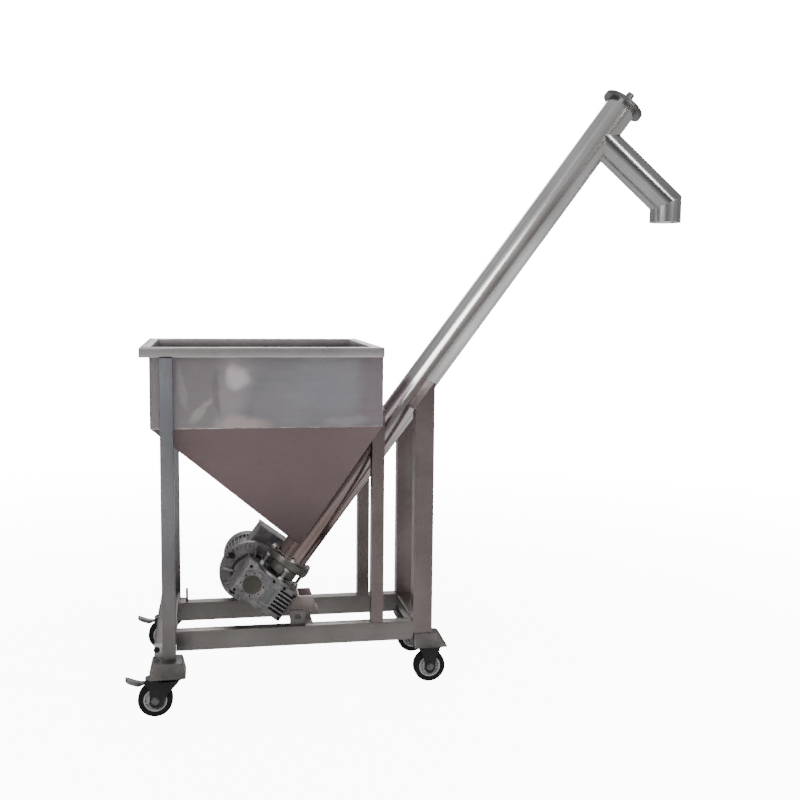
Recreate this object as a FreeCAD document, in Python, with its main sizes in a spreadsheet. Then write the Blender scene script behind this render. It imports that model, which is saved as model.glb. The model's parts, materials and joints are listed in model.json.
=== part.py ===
import FreeCAD, Part
import os
import math
import Sketcher

# Inclined screw conveyor on a castored frame: feed bin, screw tube, worm gear motor and spout.
# World frame: +X towards the discharge, +Y towards the motor, +Z up, floor at zero.
# The screw tube and all of the drive are drawn in the tube's own frame, with the tube axis as
# local Z, local X across the tube on its lower side and the lower end of the tube at zero.

doc = FreeCAD.newDocument("screw_conveyor")
sheet = doc.addObject("Spreadsheet::Sheet", "dims")
V = FreeCAD.Vector

SIZES = [
    # screw tube
    ("tube_tilt", 53.57), ("tube_x", -23.0), ("tube_z", 377.0), ("tube_outer", 102.0),
    ("tube_wall", 3.0), ("tube_length", 1816.0), ("inlet_start", 62.0), ("inlet_length", 262.0),
    ("inlet_half", 39.0), ("top_flange_outer", 140.0), ("top_flange_thick", 8.0),
    ("cover_thick", 8.0), ("cover_spigot_deep", 20.0), ("spigot_wall", 6.0),
    ("low_flange_outer", 148.0), ("low_flange_thick", 10.0), ("low_bolt_circle", 126.0),
    ("low_bolt_size", 12.0), ("low_bolt_count", 4.0), ("low_nut_outer", 19.2), ("low_nut_high", 8.0),
    # spout
    ("chute_below", 131.0), ("chute_drop", 40.4), ("chute_reach", 237.5), ("spout_drop", 66.0),
    # screw
    ("shaft_size", 30.0), ("journal_size", 25.0), ("shaft_stub", 38.0), ("shoulder_gap", 8.0),
    ("journal_start", 16.0), ("shaft_inset", 6.0), ("flight_outer", 88.0), ("flight_pitch", 88.0),
    ("flight_thick", 4.0), ("flight_start", 12.0), ("flight_end", 176.0), ("flight_steps", 20.0),
    ("bearing_outer", 52.0), ("bearing_wide", 15.0), ("run_gap", 0.05), ("bolt_gap", 0.2),
    # bin
    ("bin_left", -443.0), ("bin_right", 226.0), ("bin_half", 268.0), ("bin_wall", 3.0),
    ("slope_wall", 3.9), ("rim_top", 1066.0), ("rim_high", 29.0), ("rim_wide", 31.0),
    ("fold_z", 832.0), ("throat_left", -50.0), ("throat_right", 8.0), ("throat_half", 55.0),
    ("throat_z", 440.0),
    # frame
    ("leg_size", 38.0), ("leg_wall", 3.0), ("leg_x", -397.0), ("bin_leg_x", 231.0),
    ("rail_high", 60.0), ("rail_wide", 40.0), ("rail_wall", 3.0), ("rail_top", 204.0),
    ("rail_y", 149.0), ("cross_x", -411.0), ("mid_x", 5.0), ("post_x", 375.0),
    ("wing_thick", 8.0), ("wing_under", 1.0), ("rail_pin_x", -354.0), ("rail_pin_size", 8.0),
    ("rail_pin_high", 44.0),
    ("lug_x", -14.0), ("lug_wide", 48.0), ("lug_high", 46.0), ("lug_thick", 8.0),
    ("lug_hole", 18.0), ("lug_hole_up", 24.0), ("lug_corner", 10.0),
    # castors
    ("wheel_outer", 100.0), ("wheel_wide", 30.0), ("tread_side", 4.0), ("tread_edge", 6.0),
    ("hub_outer", 68.0), ("hub_rim", 4.0), ("hub_web", 12.0), ("hub_boss_wall", 6.0),
    ("hub_boss_proud", 2.0), ("hub_ribs", 5.0), ("hub_rib_thick", 3.0), ("hub_rib_low", 3.0),
    ("axle_size", 12.0), ("axle_head", 19.2), ("axle_head_high", 6.0),
    ("castor_high", 122.0), ("castor_trail", 35.0), ("swivel_x", -402.5), ("swivel_y", 292.0),
    ("fixed_x", 402.5), ("fixed_y", 141.0), ("fork_inside", 36.0), ("fork_sheet", 3.0),
    ("crown_size", 58.0), ("crown_thick", 9.0), ("kingpin_size", 20.0), ("kingpin_proud", 2.0),
    ("swivel_gap", 0.3), ("fork_plate_long", 76.0), ("fork_plate_wide", 60.0),
    ("fork_half", 22.0), ("fork_foot", 11.0), ("fork_below", 12.0),
    ("tray_sheet", 4.0), ("tray_plate", 11.0), ("tray_skirt_z", 116.0), ("tray_half", 54.0),
    ("tray_top_half", 43.0), ("tray_past_post", 24.0), ("tray_side", 4.0),
    ("pedal_x", 56.0), ("pedal_z", 106.0), ("pedal_reach", 64.0), ("pedal_knee", 22.0),
    ("pedal_rise", 14.0), ("pedal_wide", 34.0), ("pedal_sheet", 3.0), ("pedal_pin", 6.0),
    # drive
    ("gear_z", -128.0), ("worm_offset", 63.0), ("box_half_thick", 52.0), ("box_low", 79.0),
    ("box_high", 48.0), ("box_half_wide", 60.0), ("box_round", 12.0), ("wheel_cave", 54.0),
    ("wheel_cave_half", 20.0), ("hub_bore", 46.0), ("worm_bore", 44.0), ("rib_count", 6.0),
    ("rib_step", 13.0), ("rib_slot", 7.0), ("rib_deep", 6.0), ("rib_from", 24.0), ("rib_to", 72.0),
    ("recess_left", -18.0), ("recess_right", 72.0), ("recess_half", 37.0), ("recess_deep", 4.0),
    ("panel_left", -14.0), ("panel_right", 16.0), ("panel_half", 31.0), ("panel_high", 3.0),
    ("boss_outer", 86.0), ("boss_high", 7.0), ("boss_bolts", 8.0), ("boss_circle", 73.0),
    ("boss_hole", 5.5), ("boss_hole_deep", 12.0), ("rim_slots", 7.0), ("rim_slot_first", 127.0),
    ("rim_slot_step", 9.0), ("rim_slot_wide", 5.0), ("rim_slot_in", 84.0), ("rim_slot_out", 95.0),
    ("rim_slot_deep", 8.0), ("cover_plate", 6.0), ("output_seat", 60.0),
    ("gear_module", 3.15), ("gear_teeth", 30.0), ("gear_wide", 24.0), ("worm_starts", 2.0),
    ("tooth_top", 2.3), ("tooth_root", 3.6), ("tooth_thick", 3.5), ("tooth_flank", 1.7),
    ("worm_long", 50.0), ("worm_shaft", 24.0), ("worm_steps", 20.0),
    ("cap_outer", 60.0), ("cap_thick", 6.0), ("motor_face", 95.0), ("motor_flange", 200.0),
    ("motor_flange_thick", 12.0), ("neck_outer", 112.0), ("frame_outer", 150.0),
    ("frame_long", 170.0), ("fin_count", 36.0), ("fin_high", 8.0), ("fin_thick", 3.0),
    ("fin_short", 6.0), ("stator_bore", 86.0), ("rotor_outer", 85.0), ("rotor_inset", 25.0),
    ("shield_thick", 10.0), ("fan_cover_long", 56.0), ("fan_cover_outer", 164.0),
    ("fan_cover_sheet", 2.0), ("fan_cover_edge", 10.0), ("grille_count", 20.0),
    ("grille_start", 20.0), ("grille_rim", 16.0), ("grille_slot", 5.0),
    ("fan_outer", 130.0), ("fan_start", 5.0), ("fan_disc", 4.0), ("fan_deep", 24.0),
    ("fan_blades", 8.0), ("fan_blade_thick", 3.0), ("fan_hub_wall", 7.0), ("shaft_back", 14.0),
    ("term_long", 105.0), ("term_wide", 100.0), ("term_high", 56.0), ("term_start", 23.0),
    ("term_lid", 5.0), ("term_lid_over", 2.5), ("gland_size", 20.0), ("gland_collar", 26.0),
    ("gland_collar_long", 10.0), ("gland_long", 24.0), ("gland_bore", 10.0),
    ("gland_bore_deep", 20.0), ("gland_down", 20.0),
    ("ped_thick", 8.0), ("ped_half", 48.0), ("ped_right", 63.0), ("ped_top", 262.0),
    ("ped_lean", 22.0),
]

# how far a cutting shape reaches past what it cuts
PAST = 5.0


class Size:
    """A length with its value and the formula that gives it."""

    def __init__(self, value, text):
        self.value = value
        self.text = text

    def __add__(self, other):
        other = size(other)
        return Size(self.value + other.value, "(%s + %s)" % (self.text, other.text))

    def __radd__(self, other):
        return size(other) + self

    def __sub__(self, other):
        other = size(other)
        return Size(self.value - other.value, "(%s - %s)" % (self.text, other.text))

    def __rsub__(self, other):
        return size(other) - self

    def __mul__(self, other):
        other = size(other)
        return Size(self.value * other.value, "(%s * %s)" % (self.text, other.text))

    def __rmul__(self, other):
        return size(other) * self

    def __truediv__(self, other):
        other = size(other)
        return Size(self.value / other.value, "(%s / %s)" % (self.text, other.text))

    def __neg__(self):
        return Size(-self.value, "(0 - %s)" % self.text)


def size(x):
    if isinstance(x, Size):
        return x
    return Size(float(x), "%.6f" % float(x))


class Named:
    """The driving sizes by name."""


d = Named()
for row, (name, value) in enumerate(SIZES):
    cell = "B%d" % (row + 1)
    sheet.set("A%d" % (row + 1), name)
    sheet.set(cell, str(value))
    sheet.setAlias(cell, name)
doc.recompute()
for name, value in SIZES:
    setattr(d, name, Size(float(sheet.get(name)), "dims.%s" % name))


def sine(x):
    return Size(math.sin(math.radians(x.value)), "sin(%s)" % x.text)


def cosine(x):
    return Size(math.cos(math.radians(x.value)), "cos(%s)" % x.text)


def tangent(x):
    return Size(math.tan(math.radians(x.value)), "tan(%s)" % x.text)


def root(x):
    return Size(math.sqrt(x.value), "sqrt(%s)" % x.text)


nodes = []


def bind(obj, prop, x):
    x = size(x)
    if x.text.startswith("dims.") or "dims." in x.text:
        obj.setExpression(prop, x.text)


def body(label, keep=True):
    b = doc.addObject("PartDesign::Body", label)
    b.Label = label
    if keep:
        nodes.append(b)
    return b


def plane(b, role):
    for feature in b.Origin.OriginFeatures:
        if feature.Role == role:
            return feature
    raise RuntimeError("no plane " + role)


def sketch(b, role, offset=0.0):
    sk = b.newObject("Sketcher::SketchObject", b.Label + "_sketch")
    sk.AttachmentSupport = [(plane(b, role), "")]
    sk.MapMode = "FlatFace"
    offset = size(offset)
    sk.AttachmentOffset = FreeCAD.Placement(V(0, 0, offset.value), FreeCAD.Rotation())
    bind(sk, "AttachmentOffset.Base.z", offset)
    return sk


def pin(sk, kind, *args):
    x = size(args[-1])
    index = sk.addConstraint(Sketcher.Constraint(kind, *args[:-1], x.value))
    bind(sk, "Constraints[%d]" % index, x)


def polygon(sk, points):
    """A closed outline whose corners are each held at their own sizes."""
    points = [(size(x), size(y)) for x, y in points]
    first = sk.GeometryCount
    count = len(points)
    for k in range(count):
        a = points[k]
        c = points[(k + 1) % count]
        sk.addGeometry(Part.LineSegment(V(a[0].value, a[1].value, 0), V(c[0].value, c[1].value, 0)))
    for k in range(count):
        sk.addConstraint(Sketcher.Constraint("Coincident", first + (k - 1) % count, 2, first + k, 1))
    for k, (x, y) in enumerate(points):
        pin(sk, "DistanceX", -1, 1, first + k, 1, x)
        pin(sk, "DistanceY", -1, 1, first + k, 1, y)


def rectangle(sk, x0, x1, y0, y1):
    polygon(sk, [(x0, y0), (x1, y0), (x1, y1), (x0, y1)])


def circle(sk, x, y, diameter):
    x, y, diameter = size(x), size(y), size(diameter)
    index = sk.addGeometry(Part.Circle(V(x.value, y.value, 0), V(0, 0, 1), diameter.value / 2))
    pin(sk, "DistanceX", -1, 1, index, 3, x)
    pin(sk, "DistanceY", -1, 1, index, 3, y)
    pin(sk, "Diameter", index, diameter)


ROLES = {"XY": "XY_Plane", "XZ": "XZ_Plane", "YZ": "YZ_Plane"}


def draw(b, facing, start, length, loops):
    """The sketch of a straight feature; the XZ plane faces -Y, so it is set at the far end."""
    offset = size(start)
    if facing == "XZ":
        offset = -(size(start) + size(length))
    sk = sketch(b, ROLES[facing], offset)
    for loop in loops:
        if loop[0] == "rect":
            rectangle(sk, *loop[1:])
        elif loop[0] == "circle":
            circle(sk, *loop[1:])
        else:
            polygon(sk, loop[1])
    return sk


def pad(b, facing, start, length, *loops):
    sk = draw(b, facing, start, length, loops)
    f = b.newObject("PartDesign::Pad", b.Label + "_pad")
    f.Profile = sk
    f.Length = size(length).value
    bind(f, "Length", length)
    return f


def pocket(b, facing, start, length, *loops):
    sk = draw(b, facing, start, length, loops)
    f = b.newObject("PartDesign::Pocket", b.Label + "_pocket")
    f.Profile = sk
    f.Length = size(length).value
    bind(f, "Length", length)
    f.Reversed = True
    return f


def turn(b, points, groove=False, role="XZ", axis="V_Axis"):
    """A revolved outline, radius first, then height along the axis."""
    sk = draw(b, role, 0.0, 0.0, [("poly", points)])
    f = b.newObject("PartDesign::Groove" if groove else "PartDesign::Revolution", b.Label + "_turn")
    f.Profile = sk
    f.ReferenceAxis = (sk, [axis])
    f.Angle = 360.0
    return f


def loft(b, low, high, subtract=False):
    """A loft between two rectangles given as x0, x1, y0, y1, z."""
    kind = "PartDesign::SubtractiveLoft" if subtract else "PartDesign::AdditiveLoft"
    first = sketch(b, "XY_Plane", low[4])
    rectangle(first, *low[:4])
    second = sketch(b, "XY_Plane", high[4])
    rectangle(second, *high[:4])
    f = b.newObject(kind, b.Label + "_loft")
    f.Profile = first
    f.Sections = [second]
    f.Ruled = True
    return f


def ring(b, feature, count, axis):
    f = b.newObject("PartDesign::PolarPattern", b.Label + "_ring")
    f.Originals = [feature]
    for origin in b.Origin.OriginFeatures:
        if origin.Role == axis:
            f.Axis = (origin, [""])
    f.Angle = 360.0
    f.Occurrences = int(round(size(count).value))
    bind(f, "Occurrences", count)
    b.Tip = f
    return f


def row_of(b, feature, count, step, axis):
    f = b.newObject("PartDesign::LinearPattern", b.Label + "_row")
    f.Originals = [feature]
    for origin in b.Origin.OriginFeatures:
        if origin.Role == axis:
            f.Direction = (origin, [""])
    f.Length = (size(step) * (size(count) - 1)).value
    bind(f, "Length", size(step) * (size(count) - 1))
    f.Occurrences = int(round(size(count).value))
    bind(f, "Occurrences", count)
    b.Tip = f
    return f


def place(obj, x=0.0, y=0.0, z=0.0, angle=None, axis=V(0, 1, 0)):
    x, y, z = size(x), size(y), size(z)
    turn_by = size(angle) if angle is not None else size(0.0)
    obj.Placement = FreeCAD.Placement(V(x.value, y.value, z.value), FreeCAD.Rotation(axis, turn_by.value))
    bind(obj, "Placement.Base.x", x)
    bind(obj, "Placement.Base.y", y)
    bind(obj, "Placement.Base.z", z)
    if angle is not None:
        bind(obj, "Placement.Rotation.Angle", turn_by)


LEAN = 90.0 - d.tube_tilt


def on_tube(obj):
    """Sets a piece drawn in the tube's frame into its leaning place."""
    place(obj, d.tube_x, 0.0, d.tube_z, LEAN)


def boolean(kind, label, base, tool, keep=True):
    f = doc.addObject(kind, label)
    f.Base = base
    f.Tool = tool
    f.Label = label
    if keep:
        nodes.append(f)
    return f


def cylinder(label, x, y, z, radius, length, axis=None, angle=0.0):
    f = doc.addObject("Part::Cylinder", label)
    f.Radius = size(radius).value
    f.Height = size(length).value
    bind(f, "Radius", radius)
    bind(f, "Height", length)
    if axis is None:
        place(f, x, y, z)
    else:
        place(f, x, y, z, angle, axis)
    return f


def square_tube(label, facing, start, length, x, y, wide, high, wall):
    """A rectangular hollow section along one axis, centred at x, y of its plane."""
    b = body(label)
    pad(b, facing, start, length,
        ("rect", x - wide / 2, x + wide / 2, y - high / 2, y + high / 2),
        ("rect", x - wide / 2 + wall, x + wide / 2 - wall, y - high / 2 + wall, y + high / 2 - wall))
    return b


# Base frame: two long rails on edge between a left cross rail laid flat and the two posts
post_left = d.post_x - d.rail_high / 2
post_right = d.post_x + d.rail_high / 2
cross_right = d.cross_x + d.rail_high / 2
rail_mid_z = d.rail_top - d.rail_high / 2
foot_top = d.rail_top - d.rail_wide
for side, name in ((-1, "front"), (1, "rear")):
    b = square_tube("base_rail_" + name, "YZ", cross_right, post_left - cross_right,
                    side * d.rail_y, rail_mid_z, d.rail_wide, d.rail_high, d.rail_wall)
    if name == "rear":
        pad(b, "XY", d.rail_top, d.rail_pin_high, ("circle", d.rail_pin_x, d.rail_y, d.rail_pin_size))
square_tube("cross_rail_left", "XZ", -d.bin_half, 2 * d.bin_half, d.cross_x,
            d.rail_top - d.rail_wide / 2, d.rail_high, d.rail_wide, d.rail_wall)
inner_rail = d.rail_y - d.rail_wide / 2
square_tube("cross_rail_mid", "XZ", -inner_rail, 2 * inner_rail, d.mid_x,
            d.rail_top - d.rail_wide / 2, d.rail_high, d.rail_wide, d.rail_wall)
square_tube("cross_rail_right", "XZ", -inner_rail, 2 * inner_rail, d.post_x,
            d.rail_top - d.rail_wide / 2, d.rail_high, d.rail_wide, d.rail_wall)

# Bin legs on the left stand on the foot brackets outside the bin walls
leg_y = d.bin_half + d.leg_size / 2
leg_top = d.rim_top - d.rim_high
for side, name in ((-1, "front"), (1, "rear")):
    square_tube("leg_%s_left" % name, "XY", foot_top, leg_top - foot_top, d.leg_x, side * leg_y,
                d.leg_size, d.leg_size, d.leg_wall)

# Posts beside the screw tube, cut at the tube's own slope just under its axis
tan_tilt = tangent(d.tube_tilt)
wing_face = (d.wing_under + d.wing_thick) / cosine(d.tube_tilt)


def axis_height(x):
    return d.tube_z + (x - d.tube_x) * tan_tilt


low_cut = axis_height(post_left) - wing_face
high_cut = axis_height(post_right) - wing_face
for side, name in ((-1, "front"), (1, "rear")):
    b = body("post_" + name)
    y0 = side * d.rail_y - d.rail_wide / 2
    pad(b, "XZ", y0, d.rail_wide, ("poly", [(post_left, foot_top), (post_right, foot_top),
                                              (post_right, high_cut), (post_left, low_cut)]))
    pocket(b, "XY", foot_top, high_cut - foot_top,
           ("rect", post_left + d.rail_wall, post_right - d.rail_wall,
            y0 + d.rail_wall, y0 + d.rail_wide - d.rail_wall))

# Wing plates welded to the tube's sides rest on the posts' slanted tops
wing_mid = ((d.post_x - d.tube_x) / cosine(d.tube_tilt)) - wing_face * sine(d.tube_tilt) / 2
wing_half = d.rail_high / cosine(d.tube_tilt) / 2
wing_edge = d.rail_y + d.rail_wide / 2
tube_r = d.tube_outer / 2
for side, name in ((-1, "front"), (1, "rear")):
    b = body("wing_blank_" + name, keep=False)
    y0 = -wing_edge if side < 0 else size(0.0)
    pad(b, "XZ", y0, wing_edge, ("rect", d.wing_under, d.wing_under + d.wing_thick,
                                  wing_mid - wing_half, wing_mid + wing_half))
    hole = cylinder("wing_bite_" + name, 0, 0, wing_mid - wing_half - PAST, tube_r,
                    2 * wing_half + 2 * PAST)
    cut = boolean("Part::Cut", "wing_" + name, b, hole)
    on_tube(cut)

# Bin: square upper part, lopsided lower part down to the tube, square-tube rim
b = body("hopper_box")
pad(b, "XY", d.fold_z, leg_top - d.fold_z,
    ("rect", d.bin_left, d.bin_right, -d.bin_half, d.bin_half),
    ("rect", d.bin_left + d.bin_wall, d.bin_right - d.bin_wall,
     -d.bin_half + d.bin_wall, d.bin_half - d.bin_wall))

cone = body("hopper_cone_shell", keep=False)
loft(cone, (d.throat_left, d.throat_right, -d.throat_half, d.throat_half, d.throat_z),
     (d.bin_left, d.bin_right, -d.bin_half, d.bin_half, d.fold_z))
loft(cone, (d.throat_left + d.slope_wall, d.throat_right - d.slope_wall,
            -d.throat_half + d.slope_wall, d.throat_half - d.slope_wall, d.throat_z + d.bin_wall),
     (d.bin_left + d.bin_wall, d.bin_right - d.bin_wall, -d.bin_half + d.bin_wall,
      d.bin_half - d.bin_wall, d.fold_z), subtract=True)
tube_hole = cylinder("tube_hole", 0, 0, 0, tube_r, d.tube_length)
on_tube(tube_hole)
boolean("Part::Cut", "hopper_cone", cone, tube_hole)

b = body("hopper_rim")
rim_out_left = d.bin_left + d.bin_wall - d.rim_wide
rim_out_y = d.bin_half - d.bin_wall + d.rim_wide
pad(b, "XY", leg_top, d.rim_high,
    ("rect", rim_out_left, d.bin_right, -rim_out_y, rim_out_y),
    ("rect", rim_out_left + d.rim_wide, d.bin_right - d.rim_wide,
     -rim_out_y + d.rim_wide, rim_out_y - d.rim_wide))

# Bin legs on the right stand on the rails and are notched round the bin
bin_outer = body("bin_outer", keep=False)
loft(bin_outer, (d.throat_left, d.throat_right, -d.throat_half, d.throat_half, d.throat_z),
     (d.bin_left, d.bin_right, -d.bin_half, d.bin_half, d.fold_z))
pad(bin_outer, "XY", d.fold_z, leg_top - d.fold_z,
    ("rect", d.bin_left, d.bin_right, -d.bin_half, d.bin_half))
for side, name in ((-1, "front"), (1, "rear")):
    b = body("bin_leg_" + name, keep=False)
    x0 = d.bin_leg_x - d.leg_size / 2
    x1 = d.bin_leg_x + d.leg_size / 2
    y0 = side * d.rail_y - d.leg_size / 2
    y1 = side * d.rail_y + d.leg_size / 2
    pad(b, "XY", d.rail_top, d.fold_z + d.leg_size - d.rail_top, ("rect", x0, x1, y0, y1),
        ("rect", x0 + d.leg_wall, x1 - d.leg_wall, y0 + d.leg_wall, y1 - d.leg_wall))
    boolean("Part::Cut", "leg_%s_right" % name, b, bin_outer)

# Screw tube with its feed opening and outlet, and its two flanges
tube = body("tube_pipe", keep=False)
bore = d.tube_outer - 2 * d.tube_wall
pad(tube, "XY", 0.0, d.tube_length, ("circle", 0, 0, d.tube_outer), ("circle", 0, 0, bore))
pocket(tube, "YZ", -d.tube_outer, d.tube_outer,
       ("rect", -d.inlet_half, d.inlet_half, d.inlet_start, d.inlet_start + d.inlet_length))
on_tube(tube)
chute_at = d.tube_length - d.chute_below
chute_x = d.tube_x + chute_at * cosine(d.tube_tilt)
chute_z = d.tube_z + chute_at * sine(d.tube_tilt)
outlet = cylinder("outlet_hole", chute_x, 0, chute_z, bore / 2, d.chute_reach, V(0, 1, 0),
                  90.0 + d.chute_drop)
boolean("Part::Cut", "auger_tube", tube, outlet)

b = body("tube_flange_bottom")
pad(b, "XY", -d.low_flange_thick, d.low_flange_thick, ("circle", 0, 0, d.low_flange_outer),
    ("circle", 0, 0, d.shaft_size + 2 * d.run_gap))
hole = pocket(b, "XY", -d.low_flange_thick, d.low_flange_thick,
              ("circle", d.low_bolt_circle / 2, 0, d.low_bolt_size + 2 * d.bolt_gap))
ring(b, hole, d.low_bolt_count, "Z_Axis")
on_tube(b)
b = body("tube_flange_top")
pad(b, "XY", d.tube_length - d.top_flange_thick, d.top_flange_thick,
    ("circle", 0, 0, d.top_flange_outer), ("circle", 0, 0, d.tube_outer))
on_tube(b)
shaft_hole = d.journal_size / 2 + d.run_gap
cover_r = d.top_flange_outer / 2
cover_top = d.tube_length + d.cover_thick
spigot_low = d.tube_length - d.cover_spigot_deep
seat_r = d.bearing_outer / 2
b = body("end_cover")
turn(b, [(shaft_hole, d.tube_length), (shaft_hole, cover_top), (cover_r, cover_top),
         (cover_r, d.tube_length), (seat_r + d.spigot_wall, d.tube_length),
         (seat_r + d.spigot_wall, spigot_low), (seat_r, spigot_low), (seat_r, d.tube_length)])
on_tube(b)
bearing_low = d.tube_length - d.bearing_wide
b = body("top_bearing")
turn(b, [(shaft_hole, bearing_low), (seat_r, bearing_low), (seat_r, d.tube_length),
         (shaft_hole, d.tube_length)])
on_tube(b)

# Discharge chute, mitred to the upright spout
pipe = body("spout_pipe", keep=False)
elbow_x = chute_x + d.chute_reach
elbow_z = chute_z - d.chute_reach * tangent(d.chute_drop)
for widen, over in ((size(0.0), 0.0), (2 * d.tube_wall, PAST)):
    path = sketch(pipe, "XZ_Plane")
    top = V(chute_x.value, chute_z.value, 0)
    elbow = V(elbow_x.value, elbow_z.value, 0)
    path.addGeometry(Part.LineSegment(top, elbow))
    path.addGeometry(Part.LineSegment(elbow, elbow - V(0, d.spout_drop.value + over, 0)))
    path.addConstraint(Sketcher.Constraint("Coincident", 0, 2, 1, 1))
    path.addConstraint(Sketcher.Constraint("Vertical", 1))
    pin(path, "DistanceX", -1, 1, 0, 1, chute_x)
    pin(path, "DistanceY", -1, 1, 0, 1, chute_z)
    pin(path, "DistanceX", -1, 1, 0, 2, elbow_x)
    pin(path, "DistanceY", -1, 1, 0, 2, elbow_z)
    pin(path, "DistanceY", 1, 2, 1, 1, d.spout_drop + over)
    mouth = sketch(pipe, "XY_Plane", elbow_z - d.spout_drop - over)
    circle(mouth, elbow_x, 0, d.tube_outer - widen)
    kind = "PartDesign::SubtractivePipe" if over else "PartDesign::AdditivePipe"
    f = pipe.newObject(kind, "spout_run")
    f.Profile = mouth
    f.Spine = path
    f.Transition = "Right corner"
tube_core = cylinder("tube_core", 0, 0, 0, tube_r, d.tube_length)
on_tube(tube_core)
boolean("Part::Cut", "discharge_spout", pipe, tube_core)

# Screw: shaft with its journals, helical flight and the worm wheel's seat
b = body("screw_shaft")
wheel_low = d.gear_z - d.box_half_thick
shaft_low = -d.low_flange_thick - d.journal_start
shaft_end = wheel_low + d.shaft_inset
tip = cover_top + d.shaft_stub
shoulder = spigot_low - d.shoulder_gap
turn(b, [(0, shaft_end), (d.journal_size / 2, shaft_end), (d.journal_size / 2, shaft_low),
         (d.shaft_size / 2, shaft_low), (d.shaft_size / 2, shoulder), (d.journal_size / 2, shoulder),
         (d.journal_size / 2, tip), (0, tip)])
on_tube(b)


def winding(section, lead, turns, steps, start_angle=0.0):
    """A thread or flight: a closed outline of radius and height, carried round and up in equal
    steps, each step's slanting faces split in two flat triangles."""
    rows = []
    last = int(round(turns * steps))
    for k in range(last + 1):
        a = 2 * math.pi * k / steps + math.radians(start_angle)
        rise = lead * k / steps
        rows.append([V(r * math.cos(a), r * math.sin(a), z + rise) for r, z in section])
    faces = []
    count = len(section)
    for k in range(last):
        for i in range(count):
            j = (i + 1) % count
            p, q, r, s = rows[k][i], rows[k][j], rows[k + 1][j], rows[k + 1][i]
            if abs(section[i][0] - section[j][0]) < 1e-9:
                faces.append(Part.Face(Part.makePolygon([p, q, r, s, p])))
            else:
                faces.append(Part.Face(Part.makePolygon([p, q, r, p])))
                faces.append(Part.Face(Part.makePolygon([p, r, s, p])))
    for row in (rows[0], rows[-1]):
        faces.append(Part.Face(Part.makePolygon(row + row[:1])))
    shell = Part.makeShell(faces)
    shell.sewShape()
    solid = Part.makeSolid(shell)
    if solid.Volume < 0:
        solid.reverse()
    return solid


def feature(label, shape, keep=True):
    f = doc.addObject("Part::Feature", label)
    f.Shape = shape
    f.Label = label
    if keep:
        nodes.append(f)
    return f


# the flight's straight steps stay outside the shaft's round
flight_in = d.shaft_size.value / 2 / math.cos(math.pi / d.flight_steps.value) + d.run_gap.value
flight_out = d.flight_outer.value / 2
flight_low = d.flight_start.value
flight_high = flight_low + d.flight_thick.value
flight_outline = [(flight_in, flight_low), (flight_out, flight_low), (flight_out, flight_high),
                  (flight_in, flight_high)]
flight_turns = (d.tube_length - d.flight_start - d.flight_end) / d.flight_pitch
flight = feature("screw_flight", winding(flight_outline, d.flight_pitch.value, flight_turns.value,
                                         int(round(d.flight_steps.value))))
on_tube(flight)

# Worm wheel: hollow output shaft, web and rim, and teeth slanted to suit the worm's lead
b = body("worm_wheel")
hub_r = d.hub_bore / 2 - d.run_gap
gear_r = d.gear_module * d.gear_teeth / 2
gear_root = gear_r - d.tooth_root
gear_tip = gear_r + d.tooth_top
pad(b, "XY", wheel_low, 2 * d.box_half_thick, ("circle", 0, 0, 2 * hub_r),
    ("circle", 0, 0, d.journal_size))
pad(b, "XY", d.gear_z - d.gear_wide / 2, d.gear_wide, ("circle", 0, 0, 2 * gear_root),
    ("circle", 0, 0, 2 * hub_r))
worm_r = d.worm_offset - gear_r
slant = d.gear_wide / 2 * d.worm_starts * d.gear_module / 2 / worm_r / gear_r
tooth = b.newObject("PartDesign::AdditiveLoft", "worm_tooth")
root_r = gear_root.value - 0.5
root_half = (d.tooth_thick + d.tooth_flank).value / 2
crest_half = (d.tooth_thick - d.tooth_flank).value / 2
outline = [(root_r, -root_half), (gear_tip.value, -crest_half), (gear_tip.value, crest_half),
           (root_r, root_half)]
sections = []
for end in (-1, 1):
    sk = sketch(b, "XY_Plane", d.gear_z + end * d.gear_wide / 2)
    facing = math.pi + math.pi / d.gear_teeth.value + end * slant.value
    polygon(sk, [(x * math.cos(facing) - y * math.sin(facing),
                  x * math.sin(facing) + y * math.cos(facing)) for x, y in outline])
    sections.append(sk)
tooth.Profile = sections[0]
tooth.Sections = sections[1:]
tooth.Ruled = True
b.Tip = tooth
ring(b, tooth, d.gear_teeth, "Z_Axis")
on_tube(b)

# Worm gear housing: a rounded block with the wheel's cave, the worm's bore and cooling ribs
b = body("gearbox_housing")
box_bottom = d.gear_z - d.box_half_thick
left_side = -d.worm_offset - d.box_high
block = pad(b, "XY", box_bottom, 2 * d.box_half_thick,
            ("rect", left_side, d.box_low, -d.box_half_wide, d.box_half_wide))
doc.recompute()
edges = []
for index, edge in enumerate(block.Shape.Edges):
    if abs(edge.tangentAt(edge.FirstParameter).z) > 0.99 and edge.Length > d.box_half_thick.value:
        edges.append("Edge%d" % (index + 1))
round_off = b.newObject("PartDesign::Fillet", "gearbox_round")
round_off.Base = (block, edges)
round_off.Radius = d.box_round.value
bind(round_off, "Radius", d.box_round)
b.Tip = round_off
flange_low = d.motor_face - d.motor_flange_thick
front = -d.box_half_wide
pad(b, "XZ", d.box_half_wide, flange_low - d.box_half_wide,
    ("circle", -d.worm_offset, d.gear_z, d.neck_outer))
pad(b, "XZ", flange_low, d.motor_flange_thick, ("circle", -d.worm_offset, d.gear_z, d.motor_flange))
pad(b, "XZ", front - d.boss_high, d.boss_high, ("circle", -d.worm_offset, d.gear_z, d.boss_outer))
pocket(b, "XY", d.gear_z - d.wheel_cave_half, 2 * d.wheel_cave_half, ("circle", 0, 0, 2 * d.wheel_cave))
pocket(b, "XY", box_bottom, 2 * d.box_half_thick, ("circle", 0, 0, d.hub_bore))
pocket(b, "XZ", front, d.box_half_wide + d.motor_face, ("circle", -d.worm_offset, d.gear_z, d.worm_bore))
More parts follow.
